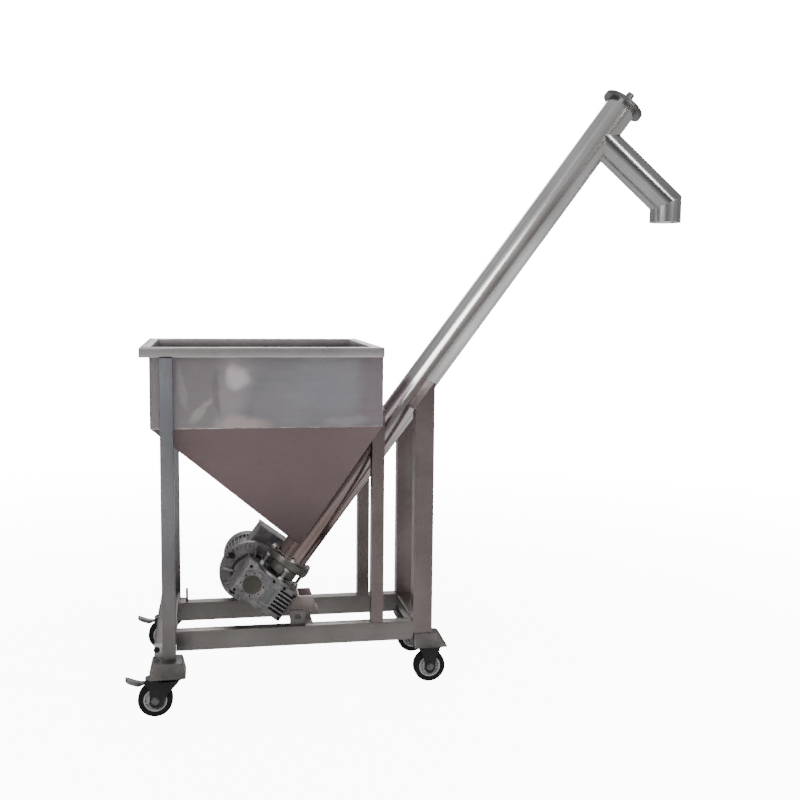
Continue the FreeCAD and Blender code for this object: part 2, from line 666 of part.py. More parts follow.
pocket(b, "XZ", front - d.boss_high, d.boss_high,
       ("circle", -d.worm_offset, d.gear_z, d.cap_outer + 2 * d.run_gap))


def round_worm(radius, angle):
    """A place on the housing's front face at a radius and an angle about the worm's axis."""
    return (-d.worm_offset + radius * math.cos(math.radians(angle)),
            d.gear_z + radius * math.sin(math.radians(angle)))


holes = []
for k in range(int(round(d.boss_bolts.value))):
    x, z = round_worm(d.boss_circle / 2, 360.0 * (k + 0.5) / d.boss_bolts.value)
    holes.append(("circle", x, z, d.boss_hole))
pocket(b, "XZ", front - d.boss_high, d.boss_hole_deep, *holes)

# Sunk face of the housing with its plain raised panel and the cooling slots beside it
pocket(b, "XZ", front, d.recess_deep, ("rect", d.recess_left, d.recess_right,
                                       d.gear_z - d.recess_half, d.gear_z + d.recess_half))
pad(b, "XZ", front + d.recess_deep - d.panel_high, d.panel_high,
    ("rect", d.panel_left, d.panel_right, d.gear_z - d.panel_half, d.gear_z + d.panel_half))
first = d.gear_z - d.rib_step * (d.rib_count - 1) / 2 - d.rib_slot / 2
for y0 in (front + d.recess_deep, d.box_half_wide - d.rib_deep):
    slot = pocket(b, "XZ", y0, d.rib_deep, ("rect", d.rib_from, d.rib_to, first, first + d.rib_slot))
    row_of(b, slot, d.rib_count, d.rib_step, "Z_Axis")

# Short slots through the upper rim of the housing's motor flange
openings = []
for k in range(int(round(d.rim_slots.value))):
    middle = d.rim_slot_first.value + k * d.rim_slot_step.value
    lean = math.degrees((d.rim_slot_wide / 2 / d.rim_slot_out).value)
    corners = ((d.rim_slot_in, -lean), (d.rim_slot_out, -lean),
               (d.rim_slot_out, lean), (d.rim_slot_in, lean))
    openings.append(("poly", [round_worm(radius, middle + turn) for radius, turn in corners]))
pocket(b, "XZ", flange_low, d.rim_slot_deep, *openings)
on_tube(b)

b = body("gearbox_cover")
pad(b, "XY", box_bottom - d.cover_plate, d.cover_plate, ("circle", 0, 0, 2 * d.wheel_cave))
on_tube(b)
b = body("worm_end_cap")
pad(b, "XZ", front - d.cap_thick, d.cap_thick, ("circle", -d.worm_offset, d.gear_z, d.cap_outer))
on_tube(b)

# Lantern between the gear housing and the tube: output flange and four studs with nuts
b = body("drive_flange")
box_top = d.gear_z + d.box_half_thick
pad(b, "XY", box_top, d.low_flange_thick, ("circle", 0, 0, d.low_flange_outer),
    ("circle", 0, 0, d.output_seat))
hole = pocket(b, "XY", box_top, d.low_flange_thick,
              ("circle", d.low_bolt_circle / 2, 0, d.low_bolt_size + 2 * d.bolt_gap))
ring(b, hole, d.low_bolt_count, "Z_Axis")
on_tube(b)
studs = body("lantern_studs")
stud_low = box_top + d.low_flange_thick - d.low_nut_high
stud_high = d.low_nut_high + 1
rod = pad(studs, "XY", stud_low, stud_high - stud_low,
          ("circle", d.low_bolt_circle / 2, 0, d.low_bolt_size))
nuts = []
for z0 in (box_top + d.low_flange_thick, -d.low_flange_thick - d.low_nut_high, size(0.0)):
    nuts.append(pad(studs, "XY", z0, d.low_nut_high,
                    ("circle", d.low_bolt_circle / 2, 0, d.low_nut_outer)))
ring(studs, rod, d.low_bolt_count, "Z_Axis").Originals = [rod] + nuts
on_tube(studs)

# Motor, drawn about its own axis along local Y with the wheel's plane at zero height
motor_x = d.tube_x - d.worm_offset * sine(d.tube_tilt) + d.gear_z * cosine(d.tube_tilt)
motor_z = d.tube_z + d.worm_offset * cosine(d.tube_tilt) + d.gear_z * sine(d.tube_tilt)


def on_motor(obj):
    """Sets a piece drawn about the motor's axis into its place."""
    place(obj, motor_x, 0.0, motor_z, LEAN)


def turn_y(b, points, groove=False):
    """A revolved outline about the local Y axis, radius first, then the place along Y."""
    return turn(b, [(y, r) for r, y in points], groove, "YZ", "H_Axis")


shaft_bore = d.worm_shaft / 2 + d.run_gap
flange_r = d.motor_flange / 2
frame_low = d.motor_face + d.motor_flange_thick
frame_high = frame_low + d.frame_long
shield_high = frame_high + d.shield_thick
fin_r = d.frame_outer / 2 + d.fin_high
b = body("motor_flange")
turn_y(b, [(shaft_bore, d.motor_face), (flange_r, d.motor_face), (flange_r, frame_low),
           (shaft_bore, frame_low)])
on_motor(b)
b = body("motor_frame")
pad(b, "XZ", frame_low, d.frame_long, ("circle", 0, 0, d.frame_outer), ("circle", 0, 0, d.stator_bore))
fin = pad(b, "XZ", frame_low + d.fin_short, d.frame_long - 2 * d.fin_short,
          ("rect", d.frame_outer / 2 - d.fin_thick, fin_r, -d.fin_thick / 2, d.fin_thick / 2))
ring(b, fin, d.fin_count, "Y_Axis")
on_motor(b)
b = body("motor_end_shield")
cover_out = d.fan_cover_outer / 2
cover_in = cover_out - d.fan_cover_sheet
turn_y(b, [(shaft_bore, frame_high), (cover_in, frame_high), (cover_in, shield_high),
           (shaft_bore, shield_high)])
on_motor(b)

# Fan cover: a bent cup with a slotted end
b = body("fan_cover")
cover_high = shield_high + d.fan_cover_long
cover_floor = cover_high - d.fan_cover_sheet
bend = d.fan_cover_edge
inner_bend = d.fan_cover_edge + d.fan_cover_sheet / 2
turn_y(b, [(cover_in, frame_high), (cover_out, frame_high), (cover_out, cover_high - bend),
           (cover_out - bend, cover_high), (0, cover_high), (0, cover_floor),
           (cover_out - inner_bend, cover_floor), (cover_in, cover_high - inner_bend)])
slot = pocket(b, "XZ", cover_floor - 1, d.fan_cover_sheet + 2,
              ("rect", d.grille_start, cover_out - d.grille_rim, -d.grille_slot / 2, d.grille_slot / 2))
ring(b, slot, d.grille_count, "Y_Axis")
on_motor(b)

# Terminal box seated on the fins, with its lid, and the cable gland on its side
b = body("terminal_shell", keep=False)
term_top = fin_r + d.term_high
term_y = frame_low + d.term_start
over = d.term_lid_over
pad(b, "XY", d.frame_outer / 4, term_top - d.frame_outer / 4,
    ("rect", -d.term_long / 2, d.term_long / 2, term_y, term_y + d.term_wide))
pad(b, "XY", term_top - d.term_lid, d.term_lid,
    ("rect", -d.term_long / 2 - over, d.term_long / 2 + over, term_y - over, term_y + d.term_wide + over))
fin_corner = root(fin_r * fin_r + d.fin_thick * d.fin_thick / 4)
fins_round = cylinder("fins_round", 0, 0, 0, fin_corner + d.run_gap, 2 * frame_high, V(1, 0, 0), -90.0)
cut = boolean("Part::Cut", "terminal_box", b, fins_round)
on_motor(cut)
b = body("cable_gland")
gland_y = term_y + d.term_wide / 2
gland_z = term_top - d.gland_down
gland_end = d.term_long / 2 + d.gland_long
pad(b, "YZ", d.term_long / 2, d.gland_collar_long, ("circle", gland_y, gland_z, d.gland_collar))
pad(b, "YZ", d.term_long / 2 + d.gland_collar_long, d.gland_long - d.gland_collar_long,
    ("circle", gland_y, gland_z, d.gland_size))
pocket(b, "YZ", gland_end - d.gland_bore_deep, d.gland_bore_deep,
       ("circle", gland_y, gland_z, d.gland_bore))
on_motor(b)

# Rotor: motor shaft with the worm cut on it, laminated core and cooling fan
b = body("worm_core", keep=False)
shaft_r = d.worm_shaft / 2
shaft_back = cover_high - d.shaft_back
turn_y(b, [(0, front), (shaft_r, front), (shaft_r, shaft_back), (0, shaft_back)])
lead = math.pi * d.gear_module.value * d.worm_starts.value
core_r = shaft_r.value - 0.4
crest_r = (worm_r + d.tooth_top).value
tools = []
for start in range(int(round(d.worm_starts.value))):
    low = -d.worm_long.value / 2
    turns = d.worm_long.value / lead
    # a thread's middle faces the wheel exactly at the wheel's own plane
    facing = 360.0 * (low / lead) + 360.0 * start / d.worm_starts.value
    thread = [(core_r, low - root_half), (crest_r, low - crest_half),
              (crest_r, low + crest_half), (core_r, low + root_half)]
    tool = feature("worm_thread_%d" % start,
                   winding(thread, lead, turns, int(round(d.worm_steps.value)), facing), keep=False)
    tool.Placement = FreeCAD.Placement(V(0, 0, 0), FreeCAD.Rotation(V(1, 0, 0), -90))
    tools.append(tool)
fused = doc.addObject("Part::MultiFuse", "rotor_shaft")
fused.Shapes = [b] + tools
fused.Label = "rotor_shaft"
nodes.append(fused)
on_motor(fused)
b = body("rotor_core")
pad(b, "XZ", frame_low + d.rotor_inset, d.frame_long - 2 * d.rotor_inset,
    ("circle", 0, 0, d.rotor_outer), ("circle", 0, 0, d.worm_shaft))
on_motor(b)
b = body("fan")
blade_low = shield_high + d.fan_start + d.fan_disc
hub_outer = d.worm_shaft + 2 * d.fan_hub_wall
pad(b, "XZ", shield_high + d.fan_start, d.fan_disc, ("circle", 0, 0, d.fan_outer),
    ("circle", 0, 0, d.worm_shaft))
pad(b, "XZ", blade_low, d.fan_deep, ("circle", 0, 0, hub_outer), ("circle", 0, 0, d.worm_shaft))
blade = pad(b, "XZ", blade_low, d.fan_deep,
            ("rect", hub_outer / 2 - 1, d.fan_outer / 2 - d.fan_blade_thick,
             -d.fan_blade_thick / 2, d.fan_blade_thick / 2))
ring(b, blade, d.fan_blades, "Y_Axis")
on_motor(b)

# Pedestal: a foot on the mid cross rail and a face along the gear housing's lower side
cot = cosine(d.tube_tilt) / sine(d.tube_tilt)
face_x = d.tube_x + d.box_low * sine(d.tube_tilt)
face_z = d.tube_z - d.box_low * cosine(d.tube_tilt)
under = d.ped_thick / sine(d.tube_tilt)
ped_base = d.rail_top + d.ped_thick


def face_at(z):
    return face_x + (z - face_z) * cot


b = body("pedestal")
pad(b, "XZ", -d.ped_half, 2 * d.ped_half,
    ("poly", [(face_at(d.rail_top), d.rail_top), (d.ped_right, d.rail_top),
              (d.ped_right - d.ped_lean, d.ped_top), (face_at(d.ped_top), d.ped_top)]))
inner_right = d.ped_right + PAST
inner_top = d.ped_top + PAST
pocket(b, "XZ", -d.ped_half + d.ped_thick, 2 * (d.ped_half - d.ped_thick),
       ("poly", [(face_at(ped_base) + under, ped_base), (inner_right, ped_base),
                 (inner_right, inner_top), (face_at(inner_top) + under, inner_top)]))

# Lifting lugs welded on the long rails
for side, name in ((-1, "front"), (1, "rear")):
    b = body("lug_" + name)
    lug_top = d.rail_top + d.lug_high
    lug_left = d.lug_x - d.lug_wide / 2
    lug_right = d.lug_x + d.lug_wide / 2
    nip = d.lug_corner
    pad(b, "XZ", side * d.rail_y - d.lug_thick / 2, d.lug_thick,
        ("poly", [(lug_left, d.rail_top), (lug_right, d.rail_top), (lug_right, lug_top - nip),
                  (lug_right - nip, lug_top), (lug_left + nip, lug_top), (lug_left, lug_top - nip)]),
        ("circle", d.lug_x, d.rail_top + d.lug_hole_up, d.lug_hole))

# Pressed foot brackets, each with the plate that carries its castor
plate_top = d.castor_high + d.tray_plate
SIDES = (1, -1, 1, -1)


def foot(label, low, high, cx, cy, swivel):
    """A tray that flares down from its top, with an inner plate for the castor."""
    sheet_in = [d.tray_sheet * way for way in SIDES]
    b = body(label)
    loft(b, low + (d.tray_skirt_z,), high + (foot_top,))
    loft(b, tuple(low[k] + sheet_in[k] for k in range(4)) + (d.tray_skirt_z,),
         tuple(high[k] + sheet_in[k] for k in range(4)) + (foot_top - d.tray_sheet,), subtract=True)

    def inside(z):
        share = (z - d.tray_skirt_z) / (foot_top - d.tray_skirt_z)
        return tuple(low[k] + (high[k] - low[k]) * share + sheet_in[k] * 0.9 for k in range(4)) + (z,)

    loft(b, inside(d.castor_high), inside(plate_top))
    if swivel:
        pocket(b, "XY", d.castor_high, d.tray_plate,
               ("circle", cx, cy, d.kingpin_size + 2 * d.run_gap))


def square(cx, cy, half):
    return (cx - half, cx + half, cy - half, cy + half)


for side, name in ((-1, "front"), (1, "rear")):
    y = side * d.swivel_y
    foot("foot_%s_left" % name, square(d.swivel_x, y, d.tray_half),
         square(d.swivel_x, y, d.tray_top_half), d.swivel_x, y, True)
    y = side * d.fixed_y
    post_y = side * d.rail_y
    reach = d.rail_wide / 2 + d.tray_side
    foot("foot_%s_right" % name,
         (post_left, d.fixed_x + d.tray_half, y - d.tray_half, y + d.tray_half),
         (post_left, post_right + d.tray_past_post, post_y - reach, post_y + reach),
         d.fixed_x, y, False)

# Castors: each fork is drawn about its own upright axis, each wheel about its own axle
wheel_r = d.wheel_outer / 2
rim_r = d.hub_outer / 2
cheek_in = d.fork_inside / 2
cheek_out = cheek_in + d.fork_sheet
crown_top = d.castor_high - d.swivel_gap
crown_low = crown_top - d.crown_thick
cheek_top = crown_low + d.fork_sheet
foot_z = wheel_r - d.fork_foot / 2
end_z = wheel_r - d.fork_below


def axle(b, x):
    """The axle bolt across the fork, with its head and nut."""
    pad(b, "XZ", -cheek_out, 2 * cheek_out, ("circle", x, wheel_r, d.axle_size))
    for y0 in (-cheek_out - d.axle_head_high, cheek_out):
        pad(b, "XZ", y0, d.axle_head_high, ("circle", x, wheel_r, d.axle_head))


def cheeks(b, outline):
    for y0 in (-cheek_out, cheek_in):
        pad(b, "XZ", y0, d.fork_sheet, ("poly", outline))


for side, name in ((-1, "front"), (1, "rear")):
    b = body("fork_%s_left" % name)
    pad(b, "XY", crown_low, d.crown_thick, ("circle", 0, 0, d.crown_size))
    pad(b, "XY", crown_top, d.swivel_gap + d.tray_plate + d.kingpin_proud,
        ("circle", 0, 0, d.kingpin_size))
    tail = -d.castor_trail
    back = -d.pedal_x - d.pedal_pin
    cheeks(b, [(d.fork_half, cheek_top), (-d.pedal_x, cheek_top), (back, d.pedal_z + d.pedal_pin / 2),
               (back, d.pedal_z - d.pedal_pin), (tail - d.fork_half * 0.7, wheel_r + d.fork_half),
               (tail - d.fork_foot, foot_z), (tail, end_z), (tail + d.fork_foot, foot_z),
               (d.fork_half * 0.6, wheel_r + d.fork_half * 1.6)])
    pocket(b, "XZ", -cheek_out, 2 * cheek_out,
           ("circle", -d.pedal_x, d.pedal_z, d.pedal_pin + 2 * d.run_gap))
    axle(b, tail)
    place(b, d.swivel_x, side * d.swivel_y, 0.0)

    b = body("pedal_%s_left" % name)
    pad(b, "XZ", -cheek_out, 2 * cheek_out, ("circle", -d.pedal_x, d.pedal_z, d.pedal_pin))
    pad(b, "XZ", -d.pedal_wide / 2, d.pedal_wide, ("circle", -d.pedal_x, d.pedal_z, d.pedal_pin * 2))
    knee = -d.pedal_x - d.pedal_knee
    pedal_end = -d.pedal_x - d.pedal_reach
    low = d.pedal_z - d.pedal_pin
    rise = d.pedal_z + d.pedal_rise
    pad(b, "XZ", -d.pedal_wide / 2, d.pedal_wide,
        ("poly", [(-d.pedal_x, low + 1), (-d.pedal_x, low + 1 + d.pedal_sheet),
                  (knee, low + d.pedal_sheet), (pedal_end, rise + d.pedal_sheet),
                  (pedal_end - 2, rise - 1), (knee, low)]))
    place(b, d.swivel_x, side * d.swivel_y, 0.0)

    b = body("fork_%s_right" % name)
    pad(b, "XY", crown_low, d.castor_high - crown_low,
        ("rect", -d.fork_plate_long / 2, d.fork_plate_long / 2, -d.fork_plate_wide / 2,
         d.fork_plate_wide / 2))
    cheeks(b, [(d.fork_half, cheek_top), (-d.fork_half, cheek_top), (-d.fork_half, wheel_r + d.fork_half),
               (-d.fork_foot, foot_z), (0, end_z), (d.fork_foot, foot_z),
               (d.fork_half, wheel_r + d.fork_half)])
    axle(b, 0.0)
    place(b, d.fixed_x, side * d.fixed_y, 0.0)

# Wheels: a rubber tread with soft shoulders on a nylon centre with a thin web and a long boss
half_wide = d.wheel_wide / 2
shoulder_y = half_wide - d.tread_edge
shoulder_r = wheel_r - d.tread_side
bore_r = d.axle_size / 2 + d.run_gap
boss_r = bore_r + d.hub_boss_wall
boss_y = half_wide + d.hub_boss_proud
web_y = d.hub_web / 2
rim_y = half_wide - 1
rim_in = rim_r - d.hub_rim
rib_y = half_wide - d.hub_rib_low
tail_x = d.swivel_x - d.castor_trail
for end, x, y_mid in (("left", tail_x, d.swivel_y), ("right", d.fixed_x, d.fixed_y)):
    for side, name in ((-1, "front"), (1, "rear")):
        b = body("tyre_%s_%s" % (name, end))
        turn_y(b, [(rim_r, -half_wide), (shoulder_r, -half_wide), (wheel_r, -shoulder_y),
                   (wheel_r, shoulder_y), (shoulder_r, half_wide), (rim_r, half_wide)])
        place(b, x, side * y_mid, wheel_r)
        b = body("hub_%s_%s" % (name, end))
        turn_y(b, [(bore_r, -boss_y), (boss_r, -boss_y), (boss_r, -web_y), (rim_in, -web_y),
                   (rim_in, -rim_y), (rim_r, -rim_y), (rim_r, rim_y), (rim_in, rim_y),
                   (rim_in, web_y), (boss_r, web_y), (boss_r, boss_y), (bore_r, boss_y)])
        rib = pad(b, "XZ", -rib_y, 2 * rib_y, ("rect", boss_r - 1, rim_in + 1,
                                               -d.hub_rib_thick / 2, d.hub_rib_thick / 2))
        ring(b, rib, d.hub_ribs, "Y_Axis")
        place(b, x, side * y_mid, wheel_r)

doc.recompute()
for obj in doc.Objects:
    if "Invalid" in obj.State or "Error" in obj.State:
        raise RuntimeError("failed: %s %s" % (obj.Label, obj.State))
os.makedirs("parts", exist_ok=True)
for node in nodes:
    shape = node.Shape
    if shape.isNull() or not shape.isValid() or not shape.Solids:
        raise RuntimeError("bad shape: " + node.Label)
    shape.exportStep("parts/%s.step" % node.Label)
print(len(nodes), "pieces")
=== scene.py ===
# %% [markdown]
# # Inclined screw conveyor
#
# The machine stands on four castors: a feed bin on square legs, a leaning screw tube that climbs
# out of the bin's lowest point, a worm gear motor at its foot and a bent spout at its head.
# The solid parts are loaded first and stay where they are. Every cell after that either gives a
# finish to them or builds a piece that the eye expects and the solids leave out.

# %% Frame
import json
import math

import bmesh
import bpy
import numpy as np
from mathutils import Matrix, Vector


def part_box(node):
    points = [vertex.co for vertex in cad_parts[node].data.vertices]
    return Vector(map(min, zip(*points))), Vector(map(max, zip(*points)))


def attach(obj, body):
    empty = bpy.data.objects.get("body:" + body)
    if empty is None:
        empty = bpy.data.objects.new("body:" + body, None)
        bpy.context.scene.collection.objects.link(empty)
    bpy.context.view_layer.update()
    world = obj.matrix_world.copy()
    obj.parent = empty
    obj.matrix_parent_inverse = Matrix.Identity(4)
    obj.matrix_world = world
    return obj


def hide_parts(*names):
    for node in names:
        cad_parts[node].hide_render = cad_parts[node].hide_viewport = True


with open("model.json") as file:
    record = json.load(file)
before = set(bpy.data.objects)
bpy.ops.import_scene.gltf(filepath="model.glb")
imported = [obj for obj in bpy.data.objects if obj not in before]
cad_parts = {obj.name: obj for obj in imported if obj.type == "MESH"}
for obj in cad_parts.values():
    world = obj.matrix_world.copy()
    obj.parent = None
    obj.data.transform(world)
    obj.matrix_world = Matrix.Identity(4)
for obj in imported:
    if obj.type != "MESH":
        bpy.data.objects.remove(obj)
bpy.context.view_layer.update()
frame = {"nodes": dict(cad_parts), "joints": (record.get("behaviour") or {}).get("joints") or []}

NODES = frame["nodes"]
JOINTS = {j["name"]: j for j in frame["joints"]}

# %% [markdown]
# ## Camera
#
# The photograph was taken from about chest height, some three and a third metres in front of the
# machine and a little to its left. The camera is set by that place, by two angles and by a very
# small roll, so that a length in the picture has the same size as in the photograph.

# %% Camera
CAMERA_PLACE = (-0.2851, -3.2920, 1.2241)
CAMERA_LENS = 47.05
CAMERA_DOWN = math.radians(5.84)
CAMERA_RIGHT = math.radians(10.54)
CAMERA_ROLL = 0.010


def set_camera():
    """The camera turns to the right about Z, then down about its own X, then rolls about its view."""
    data = bpy.data.cameras.new("photo_camera")
    data.lens = CAMERA_LENS
    data.sensor_width = 36.0
    camera = bpy.data.objects.new("photo_camera", data)
    bpy.context.scene.collection.objects.link(camera)
    turn = Matrix.Rotation(-CAMERA_RIGHT, 4, "Z")
    lift = Matrix.Rotation(math.pi / 2 - CAMERA_DOWN, 4, "X")
    roll = Matrix.Rotation(CAMERA_ROLL, 4, "Z")
    camera.matrix_world = Matrix.Translation(CAMERA_PLACE) @ turn @ lift @ roll
    bpy.context.scene.camera = camera
    return camera


camera = set_camera()
print("camera lens", camera.data.lens)

# %% [markdown]
# ## Colour and nodes
#
# Colours are written as the sRGB hex values that a colour picker gives, and one function turns
# them into the linear values that the shader works with. A second small function adds one node
# with its settings and its links, so that each material reads as a list of what it is made of.

# %% Colour and node helpers
def colour(code):
    """sRGB to linear: divide by 12.92 below 0.04045, else ((c + 0.055) / 1.055) to the power 2.4."""
    c = np.array([int(code[i:i + 2], 16) for i in (1, 3, 5)]) / 255.0
    linear = np.where(c <= 0.04045, c / 12.92, ((c + 0.055) / 1.055) ** 2.4)
    return tuple(float(v) for v in linear) + (1.0,)


def add(tree, kind, links=None, **settings):
    """Adds one node; links gives a socket a constant or the output of another node."""
    made = tree.nodes.new(kind)
    for name, value in settings.items():
        setattr(made, name, value)
    for socket, source in (links or {}).items():
        if isinstance(source, bpy.types.NodeSocket):
            tree.links.new(source, made.inputs[socket])
        else:
            made.inputs[socket].default_value = source
    return made


def blank(name):
    """A material with only its output and one Principled shader, and the object's own coordinates."""
    material = bpy.data.materials.new(name)
    material.use_nodes = True
    tree = material.node_tree
    tree.nodes.clear()
    shader = add(tree, "ShaderNodeBsdfPrincipled")
    add(tree, "ShaderNodeOutputMaterial", {"Surface": shader.outputs[0]})
    place = add(tree, "ShaderNodeTexCoord").outputs["Object"]
    return material, tree, shader, place


def two_tones(tree, factor, dark, light, low, high):
    """A colour ramp from the dark tone at low to the light tone at high."""
    ramp = add(tree, "ShaderNodeValToRGB", {"Fac": factor})
    ramp.color_ramp.elements[0].position = low
    ramp.color_ramp.elements[0].color = colour(dark)
    ramp.color_ramp.elements[1].position = high
    ramp.color_ramp.elements[1].color = colour(light)
    return ramp.outputs["Color"]


# %% [markdown]
# ## Light and floor
#
# The photograph is a cut-out on white. The floor is a wide pale sheet that grows whiter with its
# distance until it meets a white wall without a line. One big panel above and in front gives the
# light a direction, a long narrow one draws the bright lines down the round tubes, and a third
# panel lights the rear. The mirror image of the room turns darker and browner towards the ground,
# which is what gives bare steel its dull lower half.

# %% Light and floor
FLOOR_HALF = 14.0
WHITE_SEEN = 18.0
GLOW_NEAR, GLOW_FAR = 10.0, 18.0
FADE_FROM, FADE_TO = 0.8, 6.0


def soft_light(name, place, aim, size, power):
    """A rectangular lamp at a place, its face turned towards the point it aims at."""
    data = bpy.data.lights.new(name, "AREA")
    data.shape = "RECTANGLE"
    data.size, data.size_y = size
    data.energy = power
    lamp = bpy.data.objects.new(name, data)
    lamp.location = place
    lamp.rotation_mode = "QUATERNION"
    lamp.rotation_quaternion = (Vector(aim) - Vector(place)).to_track_quat("-Z", "Y")
    bpy.context.scene.collection.objects.link(lamp)
    return lamp


def make_floor():
    """A square sheet at zero height. For the camera it glows as paper does that is lit from above,
    from the near value round the object to the wall's own white further off."""
    corner = np.array([[-1, -1, 0], [1, -1, 0], [1, 1, 0], [-1, 1, 0]]) * FLOOR_HALF
    mesh = bpy.data.meshes.new("studio_floor")
    mesh.from_pydata(corner.tolist(), [], [(0, 1, 2, 3)])
    floor = bpy.data.objects.new("studio_floor", mesh)
    bpy.context.scene.collection.objects.link(floor)
    material, tree, shader, place = blank("matt_paper_floor")
    grain = add(tree, "ShaderNodeTexNoise", {"Vector": place, "Scale": 1.3, "Detail": 3.0})
    tree.links.new(two_tones(tree, grain.outputs["Fac"], "#f4f4f4", "#fafafa", 0.3, 0.7),
                   shader.inputs["Base Color"])
    shader.inputs["Roughness"].default_value = 0.9
    path = add(tree, "ShaderNodeLightPath")
    away = add(tree, "ShaderNodeVectorMath", {0: place}, operation="LENGTH")
    fade = add(tree, "ShaderNodeMapRange", {"Value": away.outputs["Value"], "From Min": FADE_FROM,
                                            "From Max": FADE_TO, "To Min": GLOW_NEAR,
                                            "To Max": GLOW_FAR}, interpolation_type="SMOOTHSTEP")
    glow = add(tree, "ShaderNodeMath", {0: path.outputs["Is Camera Ray"], 1: fade.outputs[0]},
               operation="MULTIPLY")
    shader.inputs["Emission Color"].default_value = (1, 1, 1, 1)
    tree.links.new(glow.outputs[0], shader.inputs["Emission Strength"])
    mesh.materials.append(material)


def make_room():
    """White where the camera looks past the object, a grey gradient for everything else."""
    world = bpy.data.worlds.new("studio")
    bpy.context.scene.world = world
    world.use_nodes = True
    tree = world.node_tree
    tree.nodes.clear()
    path = add(tree, "ShaderNodeLightPath")
    up = add(tree, "ShaderNodeSeparateXYZ", {0: add(tree, "ShaderNodeTexCoord").outputs["Generated"]})
    grade = two_tones(tree, up.outputs["Z"], "#8d8783", "#e6e9ee", 0.0, 1.0)
    room = add(tree, "ShaderNodeBackground", {"Color": grade, "Strength": 0.8})
    white = add(tree, "ShaderNodeBackground", {"Color": (1, 1, 1, 1), "Strength": WHITE_SEEN})
    seen = add(tree, "ShaderNodeMixShader", {0: path.outputs["Is Camera Ray"],
                                             1: room.outputs[0], 2: white.outputs[0]})
    add(tree, "ShaderNodeOutputWorld", {"Surface": seen.outputs[0]})


make_room()
make_floor()
soft_light("front_panel", (-2.2, -3.4, 3.2), (0.1, 0.0, 0.8), (2.4, 1.8), 110.0)
soft_light("tube_strip", (2.6, -2.4, 3.4), (0.5, 0.0, 1.1), (0.35, 2.6), 60.0)
soft_light("back_panel", (0.5, 3.6, 2.8), (0.0, 0.0, 0.8), (2.6, 1.6), 60.0)
print("lamps", len(bpy.data.lights))

# %% [markdown]
# ## Stainless steel
#
# Bin, frame and tube are cold rolled stainless sheet and square tube with a ground finish. Three
# things give it away: fine grinding lines along one direction, large cloudy patches where the
# sheet is not quite flat, and a slow drift of colour from blue grey to brown from the welding
# heat and from handling. One function makes all of these steels from a few values, because the
# real ones differ only in the direction of the lines, their polish and their colour. Some colours
# here are painted light and shade: the slope, the right feet and the foot flange are darker and the
# pedestal is lighter than the same steel elsewhere. The bin's wall has ten soft patches on top,
# which are painted reflections and highlights. They depend on x and z alone, which is simple, but
# the far wall then shows the same patches as the near one.

# %% Stainless steel
def add_painted_reflections(tree, place, tone, reflection_patches):
    """Painted reflections and highlights as soft patches: each is an ellipse in x and z, turned about
    Y, whose distance from its middle is bent by a noise, and whose tone fades out between 0.4 and 1
    of its size."""
    drift = add(tree, "ShaderNodeTexNoise", {"Vector": place, "Scale": 8.0, "Detail": 2.0})
    bent = add(tree, "ShaderNodeVectorMath", {0: drift.outputs["Color"], 1: (0.08, 0.0, 0.08), 2: place},
               operation="MULTIPLY_ADD")
    for x, z, half_wide, half_high, lean, cloud, share in reflection_patches:
        spot = add(tree, "ShaderNodeMapping", {"Vector": bent.outputs[0],
                                               "Location": (x + 0.04, 0, z + 0.04),
                                               "Rotation": (0, math.radians(lean), 0),
                                               "Scale": (half_wide, 1000.0, half_high)},
                   vector_type="TEXTURE")
        away = add(tree, "ShaderNodeVectorMath", {0: spot.outputs[0]}, operation="LENGTH")
        inside = add(tree, "ShaderNodeMapRange", {"Value": away.outputs["Value"], "From Min": 0.4,
                                                  "From Max": 1.0, "To Min": share, "To Max": 0.0},
                     interpolation_type="SMOOTHSTEP")
        tone = add(tree, "ShaderNodeMix", {0: inside.outputs[0], 6: tone, 7: colour(cloud)},
                   data_type="RGBA").outputs[2]
    return tone


